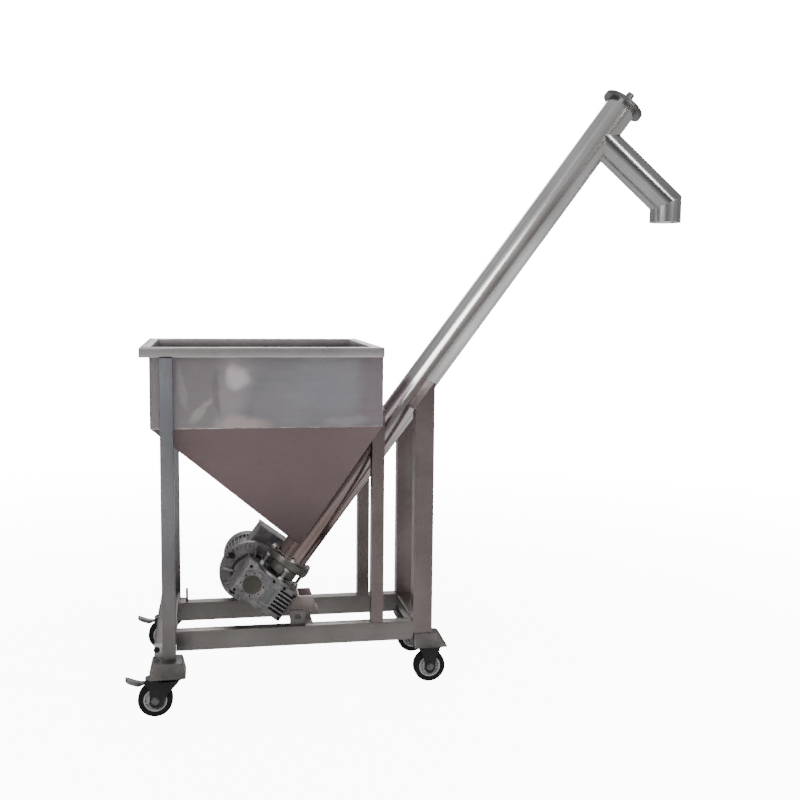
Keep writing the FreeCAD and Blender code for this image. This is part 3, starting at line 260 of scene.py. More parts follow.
def ground_steel(name, light, dark, lines, cloud_size, polish, relief=0.12, wavy=0.12, reflection_patches=(),
                 low_tint=None, tint_from=0.2, tint_to=1.0):
    """Colour: a slow noise between two tones. Roughness: polish plus the streaks, which are a noise
    stretched along the grinding direction. Bump: the streaks, and the slow waves of the sheet. A
    low tint multiplies the tone at one height and is gone at another."""
    material, tree, shader, place = blank(name)
    slow = add(tree, "ShaderNodeTexNoise", {"Vector": place, "Scale": 1.0 / cloud_size, "Detail": 2.0,
                                            "Roughness": 0.45})
    tone = two_tones(tree, slow.outputs["Fac"], dark, light, 0.30, 0.70)
    if reflection_patches:
        tone = add_painted_reflections(tree, place, tone, reflection_patches)
    if low_tint:
        height = add(tree, "ShaderNodeSeparateXYZ", {0: place}).outputs["Z"]
        climb = add(tree, "ShaderNodeMapRange", {"Value": height, "From Min": tint_from,
                                                 "From Max": tint_to})
        tone = add(tree, "ShaderNodeMix", {0: 1.0, 6: tone,
                                           7: two_tones(tree, climb.outputs[0], low_tint, "#ffffff", 0, 1)},
                   data_type="RGBA", blend_type="MULTIPLY").outputs[2]
    stretch = add(tree, "ShaderNodeMapping", {"Vector": place, "Scale": lines})
    streak = add(tree, "ShaderNodeTexNoise", {"Vector": stretch.outputs[0], "Scale": 1.0, "Detail": 5.0,
                                              "Roughness": 0.7})
    fine = add(tree, "ShaderNodeMix", {"Factor": 0.14, "A": tone, "B": streak.outputs["Color"]},
               data_type="RGBA", blend_type="OVERLAY")
    matt = add(tree, "ShaderNodeMapRange", {"Value": streak.outputs["Fac"], "To Min": polish - 0.07,
                                            "To Max": polish + 0.12})
    wave = add(tree, "ShaderNodeBump", {"Height": slow.outputs["Fac"], "Strength": wavy,
                                        "Distance": 0.02})
    rub = add(tree, "ShaderNodeBump", {"Height": streak.outputs["Fac"], "Normal": wave.outputs[0],
                                       "Strength": relief, "Distance": 0.0006})
    tree.links.new(fine.outputs[2], shader.inputs["Base Color"])
    tree.links.new(matt.outputs[0], shader.inputs["Roughness"])
    tree.links.new(rub.outputs[0], shader.inputs["Normal"])
    shader.inputs["Metallic"].default_value = 1.0
    return material


# Painted reflections and highlights on the bin wall: x, z, half width, half height, lean in
# degrees, tone and share of the tone
BIN_PAINTED_REFLECTIONS = ((-0.38, 0.93, 0.20, 0.40, 0, "#9c9697", 0.9),
              (0.21, 0.93, 0.09, 0.40, 0, "#9b9097", 0.8),
              (-0.205, 0.945, 0.070, 0.150, 8, "#b9b2b5", 0.7),
              (-0.198, 0.975, 0.042, 0.042, 20, "#eee4ea", 0.9),
              (-0.19, 0.846, 0.100, 0.030, 4, "#cabcba", 0.9),
              (-0.300, 0.885, 0.012, 0.070, 45, "#bdb8b7", 0.8),
              (-0.345, 0.955, 0.016, 0.085, -15, "#b2adac", 0.6),
              (-0.255, 0.930, 0.015, 0.080, -6, "#8a8384", 0.6),
              (0.120, 0.850, 0.080, 0.022, -3, "#b4afb3", 0.6),
              (0.04, 0.93, 0.13, 0.06, 0, "#a9a9b2", 0.6))
# The bin wall's steel carries the painted reflections and highlights.
BIN_PAINTED_REFLECTION_STEEL = ground_steel("bin_wall_painted_reflections_304", "#adabb0", "#949094", (6, 6, 420), 0.30, 0.34,
                         reflection_patches=BIN_PAINTED_REFLECTIONS)
# The slope's darker, browner tone than the bin wall is painted shade and painted reflection on its downward
# faces.
SLOPE_STEEL_PAINTED_SHADE = ground_steel("bin_slope_painted_shade_304", "#806f6f", "#736464", (40, 40, 260), 0.35, 0.38)
RIM_STEEL = ground_steel("rim_square_tube_304", "#c8c4c4", "#b2aeae", (30, 30, 500), 0.20, 0.30)
LEG_STEEL = ground_steel("leg_square_tube_304", "#837876", "#706563", (500, 500, 8), 0.18, 0.34)
RAIL_STEEL = ground_steel("rail_square_tube_304", "#84807d", "#716d6a", (8, 400, 500), 0.20, 0.36)
LEFT_LEG_STEEL = ground_steel("left_leg_square_tube_304", "#9c9ea4", "#888a90", (500, 500, 8), 0.18, 0.34,
                              low_tint="#c8bfb6", tint_from=0.25, tint_to=0.95)
FLANGE_STEEL = ground_steel("turned_flange_304", "#8e8f8d", "#777774", (300, 300, 300), 0.06, 0.34)
# The foot flange's darker tone is painted shade of the shadowed gap between the flanges.
FOOT_FLANGE_PAINTED_SHADE_STEEL = ground_steel("foot_flange_painted_shade_304", "#716f69", "#585751", (300, 300, 300), 0.04,
                                 0.38)
HEAD_STEEL = ground_steel("turned_head_cover_304", "#757574", "#646463", (40, 40, 40), 0.06, 0.36, 0.02,
                          0.03)
FEET_STEEL = ground_steel("pressed_foot_304", "#757270", "#5f5d5b", (60, 60, 60), 0.05, 0.42, 0.05)
# The right feet are a darker copy of the feet's steel: painted shade.
RIGHT_FEET_PAINTED_SHADE_STEEL = ground_steel("right_pressed_foot_painted_shade_304", "#5f5c5a", "#4b4846", (60, 60, 60), 0.05, 0.46,
                                0.05)
# The pedestal's lighter tone than the other steel is painted light.
PEDESTAL_PAINTED_LIGHT_STEEL = ground_steel("welded_pedestal_painted_light_304", "#beb3b0", "#a79c9a", (260, 260, 260), 0.10, 0.40)
PLATE_STEEL = ground_steel("rail_end_plate_304", "#d3d2ce", "#bab9b5", (200, 200, 200), 0.03, 0.36)

STEEL_OF = {"hopper_box": BIN_PAINTED_REFLECTION_STEEL, "base_rail_rear": RAIL_STEEL, "pedestal": PEDESTAL_PAINTED_LIGHT_STEEL,
            "screw_shaft": FLANGE_STEEL, "top_bearing": FLANGE_STEEL}
for name in ("leg_front_right", "leg_rear_right", "post_front", "post_rear", "wing_front", "wing_rear"):
    STEEL_OF[name] = LEG_STEEL


def finish_node(name, material):
    """Puts the finish in the node's material slots; its mesh and place stay as they are."""
    mesh = NODES[name].data
    if not mesh.materials:
        mesh.materials.append(material)
    for index in range(len(mesh.materials)):
        mesh.materials[index] = material


for name, material in STEEL_OF.items():
    finish_node(name, material)
print("steel nodes", len(STEEL_OF))

# %% [markdown]
# ### Polished tube
#
# The screw tube and its spout are drawn tube, polished along their length. The eye reads that
# from long pale and dark lines that never cross the tube, so the pattern is a noise stretched
# seventy-five times along the tube's own axis. The Mapping node turns the object's coordinates so
# that its third axis is the tube's axis. The chute is a darker copy of the same steel, which is
# painted shade.

# %% Polished tube
def drawn_tube(name, lean, light, dark, low_tint=None, low_to=0.0, high_from=1.0):
    """Lines along an axis that leans by an angle from upright: noise of 11 mm across by 0.8 m. Below
    low_to on that axis the tone is multiplied by the low tint, which is gone above high_from."""
    material, tree, shader, place = blank(name)
    upright = add(tree, "ShaderNodeMapping", {"Vector": place, "Rotation": (0.0, -lean, 0.0)})
    lines = add(tree, "ShaderNodeMapping", {"Vector": upright.outputs[0], "Scale": (90, 90, 1.2)})
    streak = add(tree, "ShaderNodeTexNoise", {"Vector": lines.outputs[0], "Scale": 1.0, "Detail": 4.0,
                                              "Roughness": 0.6})
    cloud = add(tree, "ShaderNodeTexNoise", {"Vector": upright.outputs[0], "Scale": 5.0})
    mixed = add(tree, "ShaderNodeMix", {0: 0.35, 2: streak.outputs["Fac"], 3: cloud.outputs["Fac"]})
    tone = two_tones(tree, mixed.outputs[0], dark, light, 0.38, 0.62)
    if low_tint:
        along = add(tree, "ShaderNodeSeparateXYZ", {0: upright.outputs[0]})
        climb = add(tree, "ShaderNodeMapRange", {"Value": along.outputs["Z"], "From Min": low_to,
                                                 "From Max": high_from},
                    interpolation_type="SMOOTHSTEP")
        tint = two_tones(tree, climb.outputs[0], low_tint, "#ffffff", 0.0, 1.0)
        tone = add(tree, "ShaderNodeMix", {0: 1.0, 6: tone, 7: tint}, data_type="RGBA",
                   blend_type="MULTIPLY").outputs[2]
    matt = add(tree, "ShaderNodeMapRange", {"Value": streak.outputs["Fac"], "To Min": 0.16,
                                            "To Max": 0.22})
    rub = add(tree, "ShaderNodeBump", {"Height": streak.outputs["Fac"], "Strength": 0.02,
                                       "Distance": 0.0006})
    tree.links.new(tone, shader.inputs["Base Color"])
    tree.links.new(matt.outputs[0], shader.inputs["Roughness"])
    tree.links.new(rub.outputs[0], shader.inputs["Normal"])
    shader.inputs["Metallic"].default_value = 1.0
    return material


TUBE_FOOT = np.array(JOINTS["screw_spin"]["pos_m"])
TUBE_AXIS = np.array(JOINTS["screw_spin"]["axis"])
TUBE_LEAN = math.atan2(TUBE_AXIS[0], TUBE_AXIS[2])
CHUTE_DROP = math.radians(40.4)
FOOT_ALONG = float(TUBE_FOOT @ TUBE_AXIS)
TUBE_STEEL = drawn_tube("drawn_tube_304", TUBE_LEAN, "#e9e8e7", "#bdb8b5", "#9c8b88",
                        FOOT_ALONG + 0.15, FOOT_ALONG + 0.95)
# The chute's darker copy of the tube's steel is painted shade.
CHUTE_PAINTED_SHADE_STEEL = drawn_tube("chute_tube_painted_shade_304", math.pi / 2 + CHUTE_DROP, "#adadac", "#878787")
SPOUT_STEEL = drawn_tube("spout_tube_304", 0.0, "#eef1f2", "#c9cdcf")
print("tube leans", round(math.degrees(TUBE_LEAN), 2))

# %% [markdown]
# ## Cast aluminium, paint, plastic, rubber and bronze
#
# The gear housing and the motor are pressure die cast aluminium, blasted, with a skin that is grey,
# dull and slightly pitted. The castor forks are pressed steel under black paint. The wheels have
# a grey nylon centre and a dark rubber tread.

# %% Other finishes
def speckled(name, light, dark, grit, metal, rough, relief, depth=0.0004, gloss=0.5):
    """A dull surface: two tones mixed by a coarse noise times a fine one of the grit's size, and pits
    from the fine noise."""
    material, tree, shader, place = blank(name)
    patch = add(tree, "ShaderNodeTexNoise", {"Vector": place, "Scale": 14.0, "Detail": 6.0})
    grain = add(tree, "ShaderNodeTexNoise", {"Vector": place, "Scale": 1.0 / grit, "Detail": 3.0,
                                             "Roughness": 0.65})
    both = add(tree, "ShaderNodeMath", {0: patch.outputs["Fac"], 1: grain.outputs["Fac"]},
               operation="MULTIPLY")
    tone = two_tones(tree, both.outputs[0], dark, light, 0.16, 0.36)
    matt = add(tree, "ShaderNodeMapRange", {"Value": patch.outputs["Fac"], "To Min": rough - 0.08,
                                            "To Max": rough + 0.1})
    pits = add(tree, "ShaderNodeBump", {"Height": grain.outputs["Fac"], "Strength": relief,
                                        "Distance": depth})
    tree.links.new(tone, shader.inputs["Base Color"])
    tree.links.new(matt.outputs[0], shader.inputs["Roughness"])
    tree.links.new(pits.outputs[0], shader.inputs["Normal"])
    shader.inputs["Metallic"].default_value = metal
    shader.inputs["Specular IOR Level"].default_value = gloss
    return material


CAST_ALUMINIUM = speckled("blasted_cast_aluminium", "#a3a1a2", "#666366", 0.0026, 0.75, 0.50, 0.8)
MOTOR_PAINT = speckled("motor_grey_enamel", "#83817f", "#696765", 0.0030, 0.3, 0.45, 0.2)
CAP_RUBBER = speckled("nitrile_end_cap", "#4a463c", "#39352d", 0.0012, 0.0, 0.6, 0.2)
FAN_PLASTIC = speckled("fan_nylon", "#3c3c3c", "#2a2a2a", 0.0015, 0.0, 0.55, 0.2)
TYRE_RUBBER = speckled("castor_tread_rubber", "#1b1a1c", "#111012", 0.0012, 0.0, 0.75, 0.4, gloss=0.2)
HUB_NYLON = speckled("wheel_centre_nylon", "#b3b2b4", "#979698", 0.0015, 0.0, 0.45, 0.2)
FORK_PAINT = speckled("fork_black_enamel", "#242323", "#151414", 0.0022, 0.2, 0.42, 0.25, gloss=0.35)
PEDAL_ZINC = speckled("dull_zinc_pedal", "#6f6f6e", "#575655", 0.0020, 0.85, 0.42, 0.3)
# Painted shade: a dark cast tone for the sleeve in the neck's pockets.
NECK_PAINTED_SHADE = speckled("neck_painted_shade_aluminium", "#4b484a", "#302e30", 0.0026, 0.6, 0.55, 0.8)
# Painted shade: a nearly black lining for the deep cooling slots.
SLOT_SHADE_PAINT = speckled("cooling_slot_painted_shade", "#1b1a1a", "#100f0f", 0.0020, 0.0, 0.70, 0.3, gloss=0.2)
NAME_PLATE = speckled("bare_rating_plate", "#6f7371", "#5c605e", 0.0020, 0.5, 0.45, 0.2)
ZINC = speckled("zinc_plated_pressing", "#b4b4b1", "#93928e", 0.0020, 0.85, 0.38, 0.25)
BRONZE = speckled("worm_wheel_bronze", "#b08a4a", "#8a6a35", 0.0015, 1.0, 0.35, 0.2)
DARK_STEEL = speckled("turned_dark_steel", "#6e6d6c", "#4d4c4b", 0.0012, 1.0, 0.32, 0.2)
BLACK_BOLT = speckled("black_oxide_screw", "#3a3938", "#242322", 0.0012, 0.9, 0.42, 0.2)

FINISH_OF = {"gearbox_housing": CAST_ALUMINIUM, "gearbox_cover": CAST_ALUMINIUM,
             "terminal_box": CAST_ALUMINIUM, "cable_gland": FAN_PLASTIC,
             "fan": FAN_PLASTIC, "worm_wheel": BRONZE, "rotor_shaft": DARK_STEEL,
             "rotor_core": DARK_STEEL}
for name, material in FINISH_OF.items():
    finish_node(name, material)
print("other nodes", len(FINISH_OF))

# %% [markdown]
# ## Shapes from outlines
#
# Nearly everything on this machine is either turned, drawn or bent: one outline carried along a
# path. So one function does the work. It takes the outline's points at every station of the path
# as an array of stations by points, and joins each point to its neighbours. A turned part is an
# outline carried round a circle, a square tube is a rounded square carried along a line, and a
# weld bead is a small circle carried along a seam.

# %% Carried outlines
MM = 0.001


def carried(rings, closed=False):
    """Vertices and faces of an outline's stations. Point i of station k is joined to point i + 1 and
    to the same two points of station k + 1; an open path gets its first and last outline as ends."""
    stations, count, _ = rings.shape
    index = np.arange(stations * count).reshape(stations, count)
    after = np.roll(index, -1, axis=0) if closed else index[1:]
    here = index if closed else index[:-1]
    quads = np.stack([here, np.roll(here, -1, axis=1), np.roll(after, -1, axis=1), after], axis=-1)
    faces = quads.reshape(-1, 4).tolist()
    if not closed:
        faces += [index[0][::-1].tolist(), index[-1].tolist()]
    return rings.reshape(-1, 3), faces


def rounded_box(wide, high, corner, steps=5):
    """A rectangle whose corners are quarter circles, as an array of x and y."""
    turn = np.linspace(0, math.pi / 2, steps)
    arc = np.stack([np.cos(turn), np.sin(turn)], axis=-1) * corner
    quarters = []
    for k, (x, y) in enumerate(((1, 1), (-1, 1), (-1, -1), (1, -1))):
        centre = np.array([x * (wide / 2 - corner), y * (high / 2 - corner)])
        swing = np.array([[math.cos(k * math.pi / 2), -math.sin(k * math.pi / 2)],
                          [math.sin(k * math.pi / 2), math.cos(k * math.pi / 2)]])
        quarters.append(arc @ swing.T + centre)
    return np.concatenate(quarters)


def soften(outline, corner, steps=4):
    """Cuts each corner of a closed outline back by up to a length and puts a curve in its place:
    the point (1 - t)^2 a + 2 t (1 - t) b + t^2 c between its two ends a and c and the corner b."""
    outline = np.array(outline, dtype=float)
    share = np.linspace(0, 1, steps)[:, None]
    done = []
    for before, here, behind in zip(np.roll(outline, 1, axis=0), outline, np.roll(outline, -1, axis=0)):
        back, on = before - here, behind - here
        long_back, long_on = np.linalg.norm(back), np.linalg.norm(on)
        cut = min(corner, long_back * 0.45, long_on * 0.45)
        a, c = here + back * cut / long_back, here + on * cut / long_on
        done.append((1 - share) ** 2 * a + 2 * share * (1 - share) * here + share ** 2 * c)
    return np.concatenate(done)


def turned(outline, steps=96):
    """A closed outline of radius and height carried round the third axis."""
    turn = np.arange(steps) * 2 * math.pi / steps
    r, h = np.asarray(outline, dtype=float).T
    return carried(np.stack([np.cos(turn)[:, None] * r, np.sin(turn)[:, None] * r,
                             np.broadcast_to(h, (steps, len(h)))], axis=-1), closed=True)


def raised(outline, low, high, edge=0.0):
    """A flat outline carried from low to high, drawn in by the edge's width at both ends."""
    middle = outline.mean(axis=0)
    reach = np.abs(outline - middle).max()
    levels = [(low, edge), (low + edge, 0), (high - edge, 0), (high, edge)] if edge else \
        [(low, 0), (high, 0)]
    rings = [np.column_stack([middle + (outline - middle) * (1 - inset / reach),
                              np.full(len(outline), level)]) for level, inset in levels]
    return carried(np.array(rings))


def bead(path, radius, closed=False, ripple=0.18, pitch=2.2):
    """A weld bead: a circle carried along a path in millimetres, swelling and shrinking by the
    ripple's share once every pitch."""
    path = np.asarray(path, dtype=float)
    step = np.linalg.norm(np.diff(path, axis=0, append=path[:1]), axis=1)
    along = np.concatenate([[0], np.cumsum(step)[:-1]])
    ahead = np.roll(path, -1, axis=0) - np.roll(path, 1, axis=0)
    if not closed:
        ahead[0] = path[1] - path[0]
        ahead[-1] = path[-1] - path[-2]
    ahead /= np.linalg.norm(ahead, axis=1)[:, None]
    lift = np.where(np.abs(ahead[:, 2:]) < 0.9, [[0, 0, 1.0]], [[1.0, 0, 0]])
    side = np.cross(ahead, lift)
    side /= np.linalg.norm(side, axis=1)[:, None]
    up = np.cross(side, ahead)
    turn = np.arange(8) * math.pi / 4
    swell = radius * (1 + ripple * np.sin(2 * math.pi * along / pitch))[:, None, None]
    ring = side[:, None] * np.cos(turn)[None, :, None] + up[:, None] * np.sin(turn)[None, :, None]
    return carried(path[:, None] + ring * swell, closed)


def line(start, end, step=0.6):
    """Points along a straight seam, a step of so many millimetres apart."""
    start, end = np.array(start, dtype=float), np.array(end, dtype=float)
    count = max(2, int(np.linalg.norm(end - start) / step))
    return start + (end - start) * np.linspace(0, 1, count)[:, None]


def moved(part, offset=(0, 0, 0), turn=np.eye(3)):
    """The same part with its points turned, then moved."""
    points, faces = part
    return points @ np.asarray(turn).T + np.asarray(offset, dtype=float), faces


def about(axis, angle):
    """The turn about one of the three axes by an angle in radians."""
    return np.array(Matrix.Rotation(angle, 3, axis))


PIECES = []


def finished(name, parts, material, body, replaces=(), sharp=32.0, world=None):
    """Joins parts given in millimetres into one piece of the object and hangs it from its body's empty.
    Doubled points are merged, faces turned outwards, and edges over the sharp angle kept hard."""
    points, faces, first = [], [], 0
    for part_points, part_faces in parts:
        points.append(np.asarray(part_points, dtype=float))
        faces += [[first + i for i in face] for face in part_faces]
        first += len(part_points)
    points = np.concatenate(points)
    points = world(points) if world else points * MM
    mesh = bpy.data.meshes.new(name)
    mesh.from_pydata(points.tolist(), [], faces)
    work = bmesh.new()
    work.from_mesh(mesh)
    bmesh.ops.remove_doubles(work, verts=work.verts, dist=1e-6)
    bmesh.ops.recalc_face_normals(work, faces=work.faces)
    work.to_mesh(mesh)
    work.free()
    mesh.shade_smooth()
    mesh.set_sharp_from_angle(angle=math.radians(sharp))
    mesh.materials.append(material)
    piece = bpy.data.objects.new(name, mesh)
    bpy.context.scene.collection.objects.link(piece)
    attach(piece, body)
    if replaces:
        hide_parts(*replaces)
    PIECES.append(name)


# %% [markdown]
# ## Two working frames
#
# The screw tube leans, and the gear unit leans with it. Their pieces are worked out upright, in
# millimetres from the tube's foot or from the motor's axis, and turned into place at the end by
# the axes that the joints give.

# %% Working frames
TUBE_SIDE = np.array([TUBE_AXIS[2], 0.0, -TUBE_AXIS[0]])
UPRIGHT = np.stack([TUBE_SIDE, np.array([0.0, 1.0, 0.0]), TUBE_AXIS])
MOTOR_PLACE = np.array(JOINTS["rotor_spin"]["pos_m"]) * [1, 0, 1]


def on_tube(points):
    """Local x across the tube, y to the rear, z along the tube, from its foot."""
    return TUBE_FOOT + points * MM @ UPRIGHT


def on_motor(points):
    """The same directions, from the point of the motor's axis on the centre plane."""
    return MOTOR_PLACE + points * MM @ UPRIGHT


ALONG_Y = about("X", -math.pi / 2)


def along_motor(points):
    """Local x, y and z become x, z and minus y of the frame above: z runs along the motor's axis to
    the rear, and y points down along the tube."""
    return on_motor(points @ ALONG_Y.T)


print("motor axis", [round(v, 4) for v in MOTOR_PLACE])

# %% [markdown]
# ## Hexagon bolts and nuts
#
# A bolt head is a hexagon whose six corners are cut by a cone, on a thin round washer. The
# hexagon is carried up in four stations, and at the top the outline changes to a circle that is
# nearly as wide as the flats, which gives the curved edge that every real head has.

# %% Bolts
def hexagon_head(across, high, washer=True, steps=48):
    """A head standing on zero height. Its radius at an angle is half the width across the flats,
    divided by the cosine of the angle from the nearest flat's middle. The top is a circle of 0.97
    of that half width."""
    turn = np.arange(steps) * 2 * math.pi / steps
    near = (turn + math.pi / 6) % (math.pi / 3) - math.pi / 6
    corner = across / 2 / np.cos(near)
    top = np.full(steps, across / 2 * 0.97)
    low = high * 0.10 if washer else 0.0
    rings = []
    for radius, level in ((corner, low), (corner, high * 0.86),
                          (np.minimum(corner, across * 0.54), high * 0.93), (top, high)):
        rings.append(np.stack([np.cos(turn) * radius, np.sin(turn) * radius,
                               np.full(steps, level)], axis=-1))
    parts = [carried(np.array(rings))]
    if washer:
        parts.append(turned(soften([(0.01, 0), (across * 0.66, 0), (across * 0.66, low), (0.01, low)], 0.3),
                            32))
    return parts


def headed(spots, across, high, turn=np.eye(3), washer=True):
    """The same head at many spots, all turned the same way."""
    parts = []
    for spot in spots:
        parts += [moved(part, spot, turn) for part in hexagon_head(across, high, washer)]
    return parts


def circle_spots(count, radius, level, first=0.0):
    """Spots on a circle about the third axis, at a level; the first angle is in degrees."""
    angle = np.radians(first) + np.arange(count) * 2 * math.pi / count
    return np.stack([np.cos(angle) * radius, np.sin(angle) * radius, np.full(count, level)], axis=-1)


# %% [markdown]
# ## Screw tube
#
# The tube is drawn stainless tube, 102 mm outside, with a feed opening cut into its upper side
# inside the bin. It could be cut with a Boolean modifier, but three lengths are simpler: a full
# round below the opening, a C-shaped length beside it and a full round above.

# %% Screw tube
TUBE_OUTER, TUBE_WALL, TUBE_LONG = 102.0, 3.0, 1816.0
INLET_LOW, INLET_HIGH, INLET_HALF = 62.0, 324.0, 39.0
OUTER, INNER = TUBE_OUTER / 2, TUBE_OUTER / 2 - TUBE_WALL


def pipe(low, high, steps=128):
    """A round wall between two heights."""
    return turned([(INNER, low), (OUTER, low), (OUTER, high), (INNER, high)], steps)


def open_pipe(low, high, half, steps=96):
    """The same wall without the part that lies within half of the centre plane on its left side."""
    start_out, start_in = math.asin(half / OUTER), math.asin(half / INNER)
    out_turn = np.linspace(math.pi + start_out, 3 * math.pi - start_out, steps)
    in_turn = np.linspace(3 * math.pi - start_in, math.pi + start_in, steps)
    section = np.concatenate([np.stack([np.cos(out_turn), np.sin(out_turn)], -1) * OUTER,
                              np.stack([np.cos(in_turn), np.sin(in_turn)], -1) * INNER])
    return raised(section, low, high)


finished("screw_tube", [pipe(0, INLET_LOW), open_pipe(INLET_LOW, INLET_HIGH, INLET_HALF),
                        pipe(INLET_HIGH, TUBE_LONG)],
         TUBE_STEEL, "frame", ("auger_tube",), world=on_tube)
print("tube", TUBE_LONG, "mm")

# %% [markdown]
# ## Screw flight
#
# The flight is a flat strip wound round the shaft on edge, a helicoid. Its outline is a thin
# rectangle with a slightly rounded rim, carried round and up at once: at each station it is
# turned by an angle and lifted by the pitch times that angle's share of a full turn.

# %% Screw flight
SHAFT_R, FLIGHT_R, FLIGHT_THICK, PITCH = 15.0, 44.0, 4.0, 88.0
FLIGHT_LOW, FLIGHT_HIGH = 12.0, 1640.0


def helicoid(outline, pitch, low, high, per_turn=64):
    """Stations of the outline, turned by 2 pi t and lifted by pitch t."""
    turns = (high - low) / pitch
    t = np.linspace(0, turns, int(turns * per_turn) + 1)
    r, h = np.asarray(outline, dtype=float).T
    angle = 2 * math.pi * t[:, None]
    return carried(np.stack([np.cos(angle) * r, np.sin(angle) * r, low + h + pitch * t[:, None]], -1))


strip = soften([(SHAFT_R - 0.2, 0), (FLIGHT_R, 0), (FLIGHT_R, FLIGHT_THICK), (SHAFT_R - 0.2, FLIGHT_THICK)],
               1.0)
finished("helical_flight", [helicoid(strip, PITCH, FLIGHT_LOW, FLIGHT_HIGH)],
         FLANGE_STEEL, "screw", ("screw_flight",), world=on_tube)
print("flight turns", round((FLIGHT_HIGH - FLIGHT_LOW) / PITCH, 2))

# %% [markdown]
# ## Chute and spout
#
# The chute leaves the tube's side just under its top and is mitred to a short upright spout. Each
# wall is a circle carried along three stations. The first is the saddle where the chute meets
# the tube, found by solving for the distance at which a line parallel to the chute touches the
# tube's surface. The second lies in the mitre plane and the third is the open end.

# %% Chute and spout
CHUTE_UP, CHUTE_REACH, SPOUT_DROP = 1685.0, 237.5, 66.0
CHUTE_DIR = np.array([math.cos(CHUTE_DROP), 0.0, -math.sin(CHUTE_DROP)])
CHUTE_TOP = (TUBE_FOOT + TUBE_AXIS * CHUTE_UP * MM) / MM
ELBOW = CHUTE_TOP + CHUTE_DIR * CHUTE_REACH / math.cos(CHUTE_DROP)
SPOUT_END = ELBOW - np.array([0, 0, SPOUT_DROP])


def chute_lines(radius, steps=96):
    """Points of a circle about the chute's axis at its top, one for each line of the wall."""
    turn = np.arange(steps) * 2 * math.pi / steps
    upward = np.array([math.sin(CHUTE_DROP), 0.0, math.cos(CHUTE_DROP)])
    return CHUTE_TOP + radius * (np.cos(turn)[:, None] * upward + np.sin(turn)[:, None] * [0, 1, 0])


def saddle(points, reach):
    """Each point moved along the chute to the tube's surface: the larger root t of
    |m + t n|^2 = reach^2, where m and n are the point and the direction with the part along the
    tube's axis taken away."""
    offset = points - CHUTE_TOP
    m = offset - (offset @ TUBE_AXIS)[:, None] * TUBE_AXIS
    n = CHUTE_DIR - (CHUTE_DIR @ TUBE_AXIS) * TUBE_AXIS
    a, b = n @ n, m @ n
    c = (m * m).sum(axis=1) - reach ** 2
    t = (-b + np.sqrt(np.maximum(b * b - a * c, 0))) / a
    return points + t[:, None] * CHUTE_DIR


def mitre(points):
    """Each point moved along the chute to the plane that halves the bend."""
    normal = CHUTE_DIR + np.array([0, 0, -1.0])
    t = ((ELBOW - points) @ normal) / (CHUTE_DIR @ normal)
    return points + t[:, None] * CHUTE_DIR


def level_out(points, level):
    """The same points straight below, at one height."""
    return np.column_stack([points[:, :2], np.full(len(points), level)])


outer_line, inner_line = chute_lines(OUTER), chute_lines(INNER)
outer_mitre, inner_mitre = mitre(outer_line), mitre(inner_line)
chute_wall = np.array([saddle(inner_line, OUTER - 0.5), saddle(outer_line, OUTER - 0.5), outer_mitre,
                       inner_mitre])
spout_wall = np.array([inner_mitre, outer_mitre, level_out(outer_mitre, SPOUT_END[2] + 1.0),
                       level_out(ELBOW + (outer_mitre - ELBOW) * (OUTER - 1) / OUTER, SPOUT_END[2]),
                       level_out(ELBOW + (inner_mitre - ELBOW) * (INNER + 0.6) / INNER, SPOUT_END[2]),
                       level_out(inner_mitre, SPOUT_END[2] + 1.0)])
finished("discharge_chute", [carried(chute_wall, closed=True)], CHUTE_PAINTED_SHADE_STEEL, "frame",
         ("discharge_spout",))
finished("spout_sleeve", [carried(spout_wall, closed=True)], SPOUT_STEEL, "frame",
         ("discharge_spout",))
print("spout end", [round(v) for v in SPOUT_END])

# %% [markdown]
# ## The bin's slope
#
# Four folded plates lead from the bin's box down to the tube, much steeper on the side where the
# tube leaves. Their outline is a rectangle that shrinks on its way down. The hole for the tube is
# cut with a Boolean, because the edge where flat plates meet a leaning round tube has no simple
# formula, and the result is read back as plain points and faces.

# %% Slope of the bin
FOLD_LEFT, FOLD_RIGHT, FOLD_HALF, FOLD_UP = -443.0, 226.0, 268.0, 832.0
THROAT_LEFT, THROAT_RIGHT, THROAT_HALF, THROAT_UP, SLOPE_WALL = -14.0, 8.0, 55.0, 440.0, 3.0


def sized_outline(x0, x1, y0, y1, level, corner):
    """A rounded rectangle between four sides, at a height."""
    flat = rounded_box(x1 - x0, y1 - y0, corner, 3) + [(x0 + x1) / 2, (y0 + y1) / 2]
    return np.column_stack([flat, np.full(len(flat), level)])


def difference(part, tool):
    """The first part less the second, by Blender's exact Boolean."""
    made = []
    for name, (points, faces) in (("uncut_part", part), ("cutting_tool", tool)):
        mesh = bpy.data.meshes.new(name)
        mesh.from_pydata(np.asarray(points).tolist(), [], faces)
        work = bmesh.new()
        work.from_mesh(mesh)
        bmesh.ops.recalc_face_normals(work, faces=work.faces)
        work.to_mesh(mesh)
        work.free()
        made.append(bpy.data.objects.new(name, mesh))
        bpy.context.scene.collection.objects.link(made[-1])
    cut = made[0].modifiers.new("cut", "BOOLEAN")
    cut.operation = "DIFFERENCE"
    cut.solver = "EXACT"
    cut.object = made[1]
    result = made[0].evaluated_get(bpy.context.evaluated_depsgraph_get()).to_mesh()
    points = np.empty(len(result.vertices) * 3)
    result.vertices.foreach_get("co", points)
    faces = [list(face.vertices) for face in result.polygons]
    for piece in made:
        bpy.data.objects.remove(piece)
    return points.reshape(-1, 3), faces


